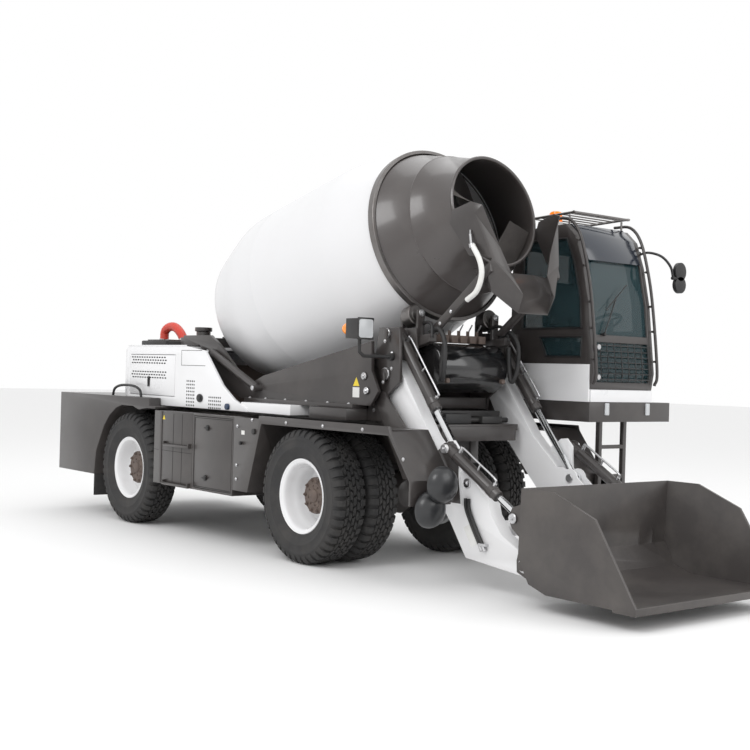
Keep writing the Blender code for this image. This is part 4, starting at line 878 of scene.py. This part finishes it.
def arm_details():
    """Pins, hoses, labels and lever plates on the arms, and pins on the bucket."""
    steel, rings = [], []
    for side in (-1, 1):
        for (x, z), y, r in ((LIFT_EYE, 0.6, 0.036), (TILT_BASE, 0.71, 0.034)):
            steel.append(rod((x, side * y, z), (x, side * (y + 0.012), z), r, 32, 0.004))
            steel += bolt((x, side * (y + 0.012), z), (0, side, 0), 0.013, 0.01)
        x, z = LIFT_EYE
        rings.append(across(x, z, side * 0.4895, side * 0.476, 0.034, 32, 0.004))
        for k, spread in enumerate((0.0, 0.032)):
            start = Vector((1.5 + spread, side * LEVER_FACE, 0.655))
            hose = [
                start, (1.515 + spread, side * 0.622, 0.58), (1.58 + spread, side * 0.618, 0.46),
                (1.66 + spread, side * 0.618, 0.34)]
            make("arm_hose_%s_%d" % ("l" if side > 0 else "r", k), [tube(hose, 0.0125)], HOSE,
                 "arms")
            steel += [
                rod((1.655 + spread, side * 0.618, 0.347), (1.685 + spread, side * 0.618, 0.296),
                    0.014, 12)]
        steel += [block((1.66, min(side * 0.6, side * 0.632), 0.335),
                        (1.735, max(side * 0.6, side * 0.632), 0.352))]
    make("arm_pins", steel + rings, STEEL, "arms")
    labels = [on_side([(1.47, 0.44), (1.53, 0.47), (1.62, 0.335), (1.56, 0.305)], side, 0.6003,
                      THIN) for side in (-1, 1)]
    make("arm_labels", labels, LABEL, "arms")
    make("arm_signs", [on_side([(1.31, 0.9), (1.34, 0.9), (1.325, 0.93)], side, 0.6163, THIN)
                       for side in (-1, 1)], YELLOW, "arms")
    plates = mirrored(
        [slab([(1.145, 0.952), (1.302, 1.055), (1.352, 1.06), (1.412, 1.002), (1.42, 0.8),
               (1.45, 0.61), (1.305, 0.61), (1.225, 0.705)], "Y", LEVER_FACE, 0.6182)])
    make("lever_faces", plates, GREY, "arms", bevel=0.0005)
    caps = []
    for side in (-1, 1):
        x, z = BUCKET_PIVOT
        caps.append(across(x, z, side * 0.6222, side * 0.645, 0.052, 32, 0.006))
        x, z = TILT_PIN
        caps.append(across(x, z, side * 0.7222, side * 0.738, 0.036, 32, 0.005))
        caps += bolt((x, side * 0.738, z), (0, side, 0), 0.012, 0.01)
    make("bucket_pins", caps, STEEL, "bucket")


def cylinder_details():
    """Port fittings, steel pipes and gland rings that move with each barrel."""
    for kind, base, eye, y, length, r in (("lift", LIFT_BASE, LIFT_EYE, ARM_Y, 0.745, 0.046),
                                          ("tilt", TILT_BASE, TILT_PIN, TILT_Y, 0.6, 0.042)):
        run = Vector((eye[0] - base[0], 0, eye[1] - base[1])).normalized()
        out = Vector((-run.z, 0, run.x))
        body = kind + "_barrels"
        for name, side in SIDES:
            start = Vector((base[0], side * y, base[1]))
            glands = [
                rod(start + run * (length - 0.095), start + run * (length - 0.045), r + 0.004, 32,
                    0.003), rod(start + run * 0.055, start + run * 0.1, r + 0.004, 32, 0.003)]
            make("%s_gland_%s" % (kind, name), glands, GREY, body)
            near, far = start + run * 0.11, start + run * (length - 0.075)
            pipe = [near + out * (r + 0.035), near + run * 0.03 + out * (r + 0.045),
                    start + run * (length * 0.5) + out * (r + 0.045),
                    far - run * 0.03 + out * (r + 0.045), far + out * (r + 0.03), far + out * r]
            fittings = [tube(pipe, 0.0085), rod(near + out * (r - 0.004), near + out * (r + 0.05),
                                               0.015, 12),
                        rod(far + out * (r - 0.004), far + out * (r + 0.022), 0.015, 12)]
            middle = start + run * (length * 0.55)
            fittings += [rod(middle + out * (r - 0.003), middle + out * (r + 0.05), 0.008, 10)]
            make("%s_pipes_%s" % (kind, name), fittings, STEEL, body)


def hopper_details():
    """Water pipe and bolts at the hopper, and the shafts of the rollers."""
    water = [(1.306, -0.44, 2.518), (1.385, -0.435, 2.4), (1.395, -0.42, 2.291),
             (1.342, -0.415, 2.174), (1.236, -0.41, 2.11)]
    make("water_pipe", [tube(water, 0.021, 14)], PIPE_WHITE)
    fittings = [rod((1.3, -0.441, 2.505), (1.285, -0.443, 2.6), 0.011, 12),
                rod((1.312, -0.44, 2.49), (1.3, -0.44, 2.525), 0.025, 20),
                rod((1.285, -0.443, 2.6), (1.283, -0.443, 2.63), 0.006, 10)]
    make("water_pipe_ends", fittings, STEEL)
    bolts = []
    for side in (-1, 1):
        for x, z in ((0.9, 1.94), (1.02, 2.03)):
            bolts += bolt((x, side * 0.3752, z), (0, side, 0), 0.01, 0.008)
    make("strut_bolts", bolts, STEEL)
    shaft = []
    for side in (-1, 1):
        reach = 0.725 + 0.085
        place = drum_place()
        spot = place @ Vector(
            (reach * math.cos(math.radians(30)), side * reach * math.sin(math.radians(30)), 0))
        way = DRUM_WAY
        for k in (-1, 1):
            shaft.append(rod(spot + way * k * 0.098, spot + way * k * 0.118, 0.028, 24, 0.003))
            shaft += bolt(spot + way * k * 0.118, way * k, 0.012, 0.01)
    make("roller_shafts", shaft, STEEL)


def cab_details():
    """Visor, guard rails, rack, grid, wiper, seals, mirror and beacon of the cab."""
    front = [(1.352, 2.502), (1.2715, 2.7025), (1.1615, 2.8025), (0.66, 2.7825), (0.66, 2.788),
             (1.163, 2.808), (1.2755, 2.7065), (1.3575, 2.504)]
    make("roof_visor", [slab(front, "Y", 0.8, 1.445)], VISOR, bevel=0.001)
    rails = []
    for y in (0.742, 1.503):
        side = -1 if y < 1 else 1
        rails.append(tube([(1.495, y, 1.5), (1.52, y, 1.62), (1.455, y, 2.16), (1.388, y, 2.48),
                           (1.305, y, 2.72), (1.19, y, 2.838), (1.02, y, 2.85)], 0.013, 10, 6))
        for x, z in ((1.49, 1.7), (1.46, 1.95), (1.43, 2.16), (1.375, 2.45), (1.3, 2.66)):
            rails.append(rod((x - 0.01, y, z), (x + 0.02, y, z + 0.004), 0.009, 10))
            rails.append(across(x + 0.005, z, y, y + side * 0.03, 0.01, 10))
    make("cab_guard_rails", rails, GREY)
    rack = [tube([(0.72, 0.8, 2.88), (1.16, 0.8, 2.9), (1.19, 0.83, 2.9), (1.19, 1.42, 2.9),
                  (1.16, 1.45, 2.9), (0.72, 1.45, 2.88)], 0.011, 10, 4)]
    rack += [tube([(0.72 + 0.085 * k, 0.8, 2.88 + 0.003 * k),
                   (0.72 + 0.085 * k, 1.45, 2.88 + 0.003 * k)], 0.006, 8, 1) for k in range(6)]
    rack += [
        rod((x, y, 2.775), (x, y, 2.885), 0.009, 10) for x in (0.73, 1.14) for y in (0.8, 1.45)]
    make("roof_rack", rack, BRUSH_STEEL)
    grid = []
    for k in range(7):
        z = 1.545 + 0.045 * k
        x = 1.497 - max(0.0, z - 1.6) * 0.118
        grid.append(across(x, z, 0.775, 1.47, 0.0045, 8))
    for k in range(8):
        y = 0.83 + 0.085 * k
        grid.append(tube([(1.488, y, 1.52), (1.5, y, 1.6), (1.47, y, 1.84)], 0.0045, 8, 3))
    make("window_grid", grid, BLACK)
    lamps = [rod((1.484, 0.8, 1.8), (1.497, 0.8, 1.8), 0.022, 20),
             rod((1.488, 0.8, 1.56), (1.503, 0.8, 1.56), 0.022, 20)]
    make("grid_knobs", lamps, STEEL)
    wiper = [tube([(1.462, 0.9, 1.915), (1.448, 0.98, 2.06), (1.436, 1.06, 2.22)], 0.006, 8),
             tube([(1.452, 0.92, 2.1), (1.42, 1.2, 2.32)], 0.005, 8, 1),
             rod((1.44, 0.9, 1.905), (1.472, 0.9, 1.905), 0.014, 12)]
    make("wiper", wiper, BLACK)
    trims = bead([(0.7, 1.95), (1.36, 1.95), (1.34, 2.2), (1.26, 2.5), (1.18, 2.68),
                  (0.78, 2.68), (0.7, 2.6)], CAB_RIGHT_FACE, 0.008)
    trims += bead([(0.98, 1.72), (1.36, 1.72), (1.37, 1.88), (0.9, 1.88)], CAB_RIGHT_FACE, 0.007)
    make("window_seals", trims, BLACK)
    make("lower_side_pane", [slab([(0.985, 1.725), (1.357, 1.725), (1.366, 1.875), (0.905, 1.875)],
                                  "Y", 0.75, 0.755)], GLASS)
    strips = []
    for y in (0.93, 1.44):
        strips.append(block((1.4752, y - 0.022, 1.255), (1.489, y + 0.022, 1.352)))
    make("platform_lamps", strips, CLEAR, bevel=0.004)
    plate = [block((1.4622, 0.74, 1.3605), (1.474, 1.505, 1.458))]
    make("cab_nose_strip", plate, WHITE, bevel=0.003)
    handle = [tube([(1.24, 1.512, 1.86), (1.24, 1.545, 1.88), (1.24, 1.545, 2.02),
                    (1.24, 1.512, 2.04)], 0.009)]
    make("door_handle", handle, STEEL, "cab_door_leaf")
    door_trim = bead(
        [(0.75, 1.95), (1.28, 1.95), (1.25, 2.2), (1.18, 2.48), (1.13, 2.58), (0.75, 2.58)],
        1.5105, 0.007)
    make("door_seal", door_trim, BLACK, "cab_door_leaf")
    shells, faces_of = [], []
    for z, r in ((2.462, 0.078), (2.352, 0.07)):
        shells.append(slab(oval((1.727, z), 0.07, r, 32), "X", 1.53, 1.565))
        faces_of.append(slab(oval((1.727, z), 0.062, r - 0.008, 32), "X", 1.5275, 1.5297))
    shells.append(
        tube([(1.262, 1.525, 2.6), (1.36, 1.54, 2.62), (1.47, 1.58, 2.585), (1.535, 1.62, 2.5),
              (1.545, 1.645, 2.41)], 0.011))
    shells.append(across(1.547, 2.405, 1.63, 1.7, 0.016, 16))
    shells.append(block((1.235, 1.5105, 2.57), (1.295, 1.528, 2.63)))
    show("mirror", shells, BLACK, 0.004)
    make("mirror_faces", faces_of, MIRROR)
    make("beacon_shown", [lathe([(0, 0.135), (0.03, 0.134), (0.044, 0.128), (0.049, 0.11),
                                 (0.053, 0.044), (0, 0.044)],
                                Matrix.Translation((0.94, 0.85, 2.796)), 32)]
         + [rod((0.94 + 0.052 * math.cos(a), 0.85 + 0.052 * math.sin(a), 2.842),
                (0.94 + 0.048 * math.cos(a), 0.85 + 0.048 * math.sin(a), 2.915), 0.004, 6)
            for a in (i * math.pi / 8 for i in range(16))], AMBER,
         hides=("beacon",))
    make("beacon_foot", [rod((0.94, 0.85, 2.796), (0.94, 0.85, 2.842), 0.058, 32)], LABEL)


def seat_details():
    """Padded seat, console, steering wheel and levers."""
    cushion = make("seat_cushion", [block((0.8, 0.9, 1.72), (1.16, 1.34, 1.84))], LEATHER,
                   bevel=0.035, segments=4, hides=("operator_station",))
    back = make(
        "seat_back", [turned_about(block((0.76, 0.92, 1.8), (0.86, 1.32, 2.36)),
                                   (0.81, 1.12, 1.8), -6, "Y")], LEATHER, bevel=0.032, segments=4)
    hard = [block((0.84, 0.98, 1.4605), (1.08, 1.26, 1.725)),
            turned_about(block((1.29, 1.04, 1.48), (1.35, 1.2, 2.0)), (1.32, 1.12, 1.46), -6,
                         "Y"),
            block((1.24, 1.02, 1.4605), (1.38, 1.22, 1.52)),
            block((0.8, 0.9, 1.4605), (1.38, 1.34, 1.472)),
            block((0.86, 1.345, 1.62), (1.16, 1.4, 1.9)),
            block((0.86, 0.84, 1.62), (1.16, 0.895, 1.9))]
    make("cab_console", hard, BLACK, bevel=0.008)
    place = Matrix.Translation((1.24, 1.12, 2.0)) @ Matrix.Rotation(-0.5, 4, "Y")
    ring = lathe([(0.165 + 0.013 * math.cos(a), 0.013 * math.sin(a))
                  for a in (2 * math.pi * i / 12 for i in range(12))], place, 40, True)
    spokes = [rod(place @ Vector((0, 0, -0.005)),
                  place @ Vector((0.16 * math.cos(a), 0.16 * math.sin(a), 0)), 0.01, 10)
              for a in (0.5, 2.6, 4.7)]
    hub_cap = rod(place @ Vector((0, 0, -0.03)), place @ Vector((0, 0, 0.015)), 0.035, 20)
    make("steering_wheel", [ring, hub_cap] + spokes, BLACK)
    levers = []
    for y in (0.868, 1.372):
        levers.append(rod((1.1, y, 1.9), (1.12, y, 2.0), 0.008, 10))
        levers.append(lathe([(0, 0.025), (0.018, 0.018), (0.022, 0), (0.016, -0.02), (0, -0.025)],
                            Matrix.Translation((1.124, y, 2.02)), 16))
    make("control_levers", levers, BLACK)


def lamp_details():
    """Right headlamp, its turn lamp, and the two domes by the arm."""
    soften("right_headlamp", BLACK, 0.003)
    cone = [(0, 0.002), (0.057, 0.002), (0.058, 0.03), (0.052, 0.05), (0.05, 0.07), (0.044, 0.09),
            (0.036, 0.108), (0.025, 0.12), (0, 0.125)]
    spot = along((0.606, -0.985, 1.875), (0.4, -0.985, 1.875))
    make("turn_lens", [lathe(cone, spot, 28)], AMBER)
    bezel = [block((0.738, -1.0595, 1.792), (0.748, -0.905, 1.958))]
    make("headlamp_bezel", bezel, BLACK, bevel=0.004)
    lens = [slab(rounded((-1.05, 1.805), (-0.915, 1.945), 0.02, 4), "X", 0.748, 0.753)]
    make("headlamp_lens", lens, CLEAR, bevel=0.002)
    domes = []
    for x, y, z in ((1.5, -0.84, 0.76), (1.42, -0.88, 0.575)):
        domes.append(
            lathe([(0, 0.0775), (0.03, 0.0765), (0.071, 0.068), (0.1, 0.051), (0.1185, 0.034),
                   (0.13, 0.008), (0.1335, -0.008), (0.1335, -0.02), (0.128, -0.0235),
                   (0, -0.0235)], along((x, y, z), (x + 1, y, z)), 40))
    make("dome_mirrors", domes, DOME)


wheels()
drum()
plain_nodes()
cylinders()
hood_details()
box_details()
rear_details()
tower_details()
arm_details()
cylinder_details()
hopper_details()
cab_details()
seat_details()
lamp_details()

# ---------------------------------------------------------------- floor, light, camera
floor_mesh = bpy.data.meshes.new("floor")
floor_mesh.from_pydata(
    [(-60, -60, -0.001), (60, -60, -0.001), (60, 60, -0.001), (-60, 60, -0.001)], [],
    [(0, 1, 2, 3)])
floor = bpy.data.objects.new("floor", floor_mesh)
bpy.context.scene.collection.objects.link(floor)
floor_mesh.materials.append(finish_of("pale_floor", (0.86, 0.86, 0.86), 0.8, spread=0.05))

world = bpy.data.worlds.new("studio")
bpy.context.scene.world = world
world.use_nodes = True
world.node_tree.nodes["Background"].inputs["Color"].default_value = (1.0, 1.0, 1.0, 1.0)
world.node_tree.nodes["Background"].inputs["Strength"].default_value = 1.0
bpy.context.scene.view_settings.view_transform = "Standard"


def area_light(name, place, target, size, power, colour=(1.0, 1.0, 1.0)):
    """A soft square light aimed at a point."""
    lamp = bpy.data.lights.new(name, "AREA")
    lamp.shape = "SQUARE"
    lamp.size = size
    lamp.energy = power
    lamp.color = colour
    holder = bpy.data.objects.new(name, lamp)
    bpy.context.scene.collection.objects.link(holder)
    holder.location = place
    holder.rotation_mode = "QUATERNION"
    holder.rotation_quaternion = (Vector(target) - Vector(place)).to_track_quat("-Z", "Y")


area_light("key", (4.0, -9.0, 9.0), (0, 0, 1.2), 5.0, 420.0)
area_light("fill", (10.0, 3.0, 6.0), (0, 0, 1.2), 6.0, 200.0)
area_light("top", (-3.0, 2.0, 11.0), (0, 0, 1.5), 7.0, 160.0)

CAMERA_YAW, CAMERA_PITCH, CAMERA_ROLL = 0.6788, -0.0025, 0.0286
camera_data = bpy.data.cameras.new("camera")
camera_data.lens = 58.6
camera_data.sensor_width = 36.0
camera = bpy.data.objects.new("camera", camera_data)
bpy.context.scene.collection.objects.link(camera)
bpy.context.scene.camera = camera
ahead = Vector((-math.cos(CAMERA_YAW) * math.cos(CAMERA_PITCH),
                math.sin(CAMERA_YAW) * math.cos(CAMERA_PITCH), math.sin(CAMERA_PITCH)))
right = ahead.cross(Vector((0, 0, 1))).normalized()
up = right.cross(ahead)
rolled_right = right * math.cos(CAMERA_ROLL) + up * math.sin(CAMERA_ROLL)
rolled_up = up * math.cos(CAMERA_ROLL) - right * math.sin(CAMERA_ROLL)
camera.matrix_world = (Matrix.Translation((8.579, -7.058, 1.55))
                       @ Matrix((rolled_right, rolled_up, -ahead)).transposed().to_4x4())

bpy.context.view_layer.update()
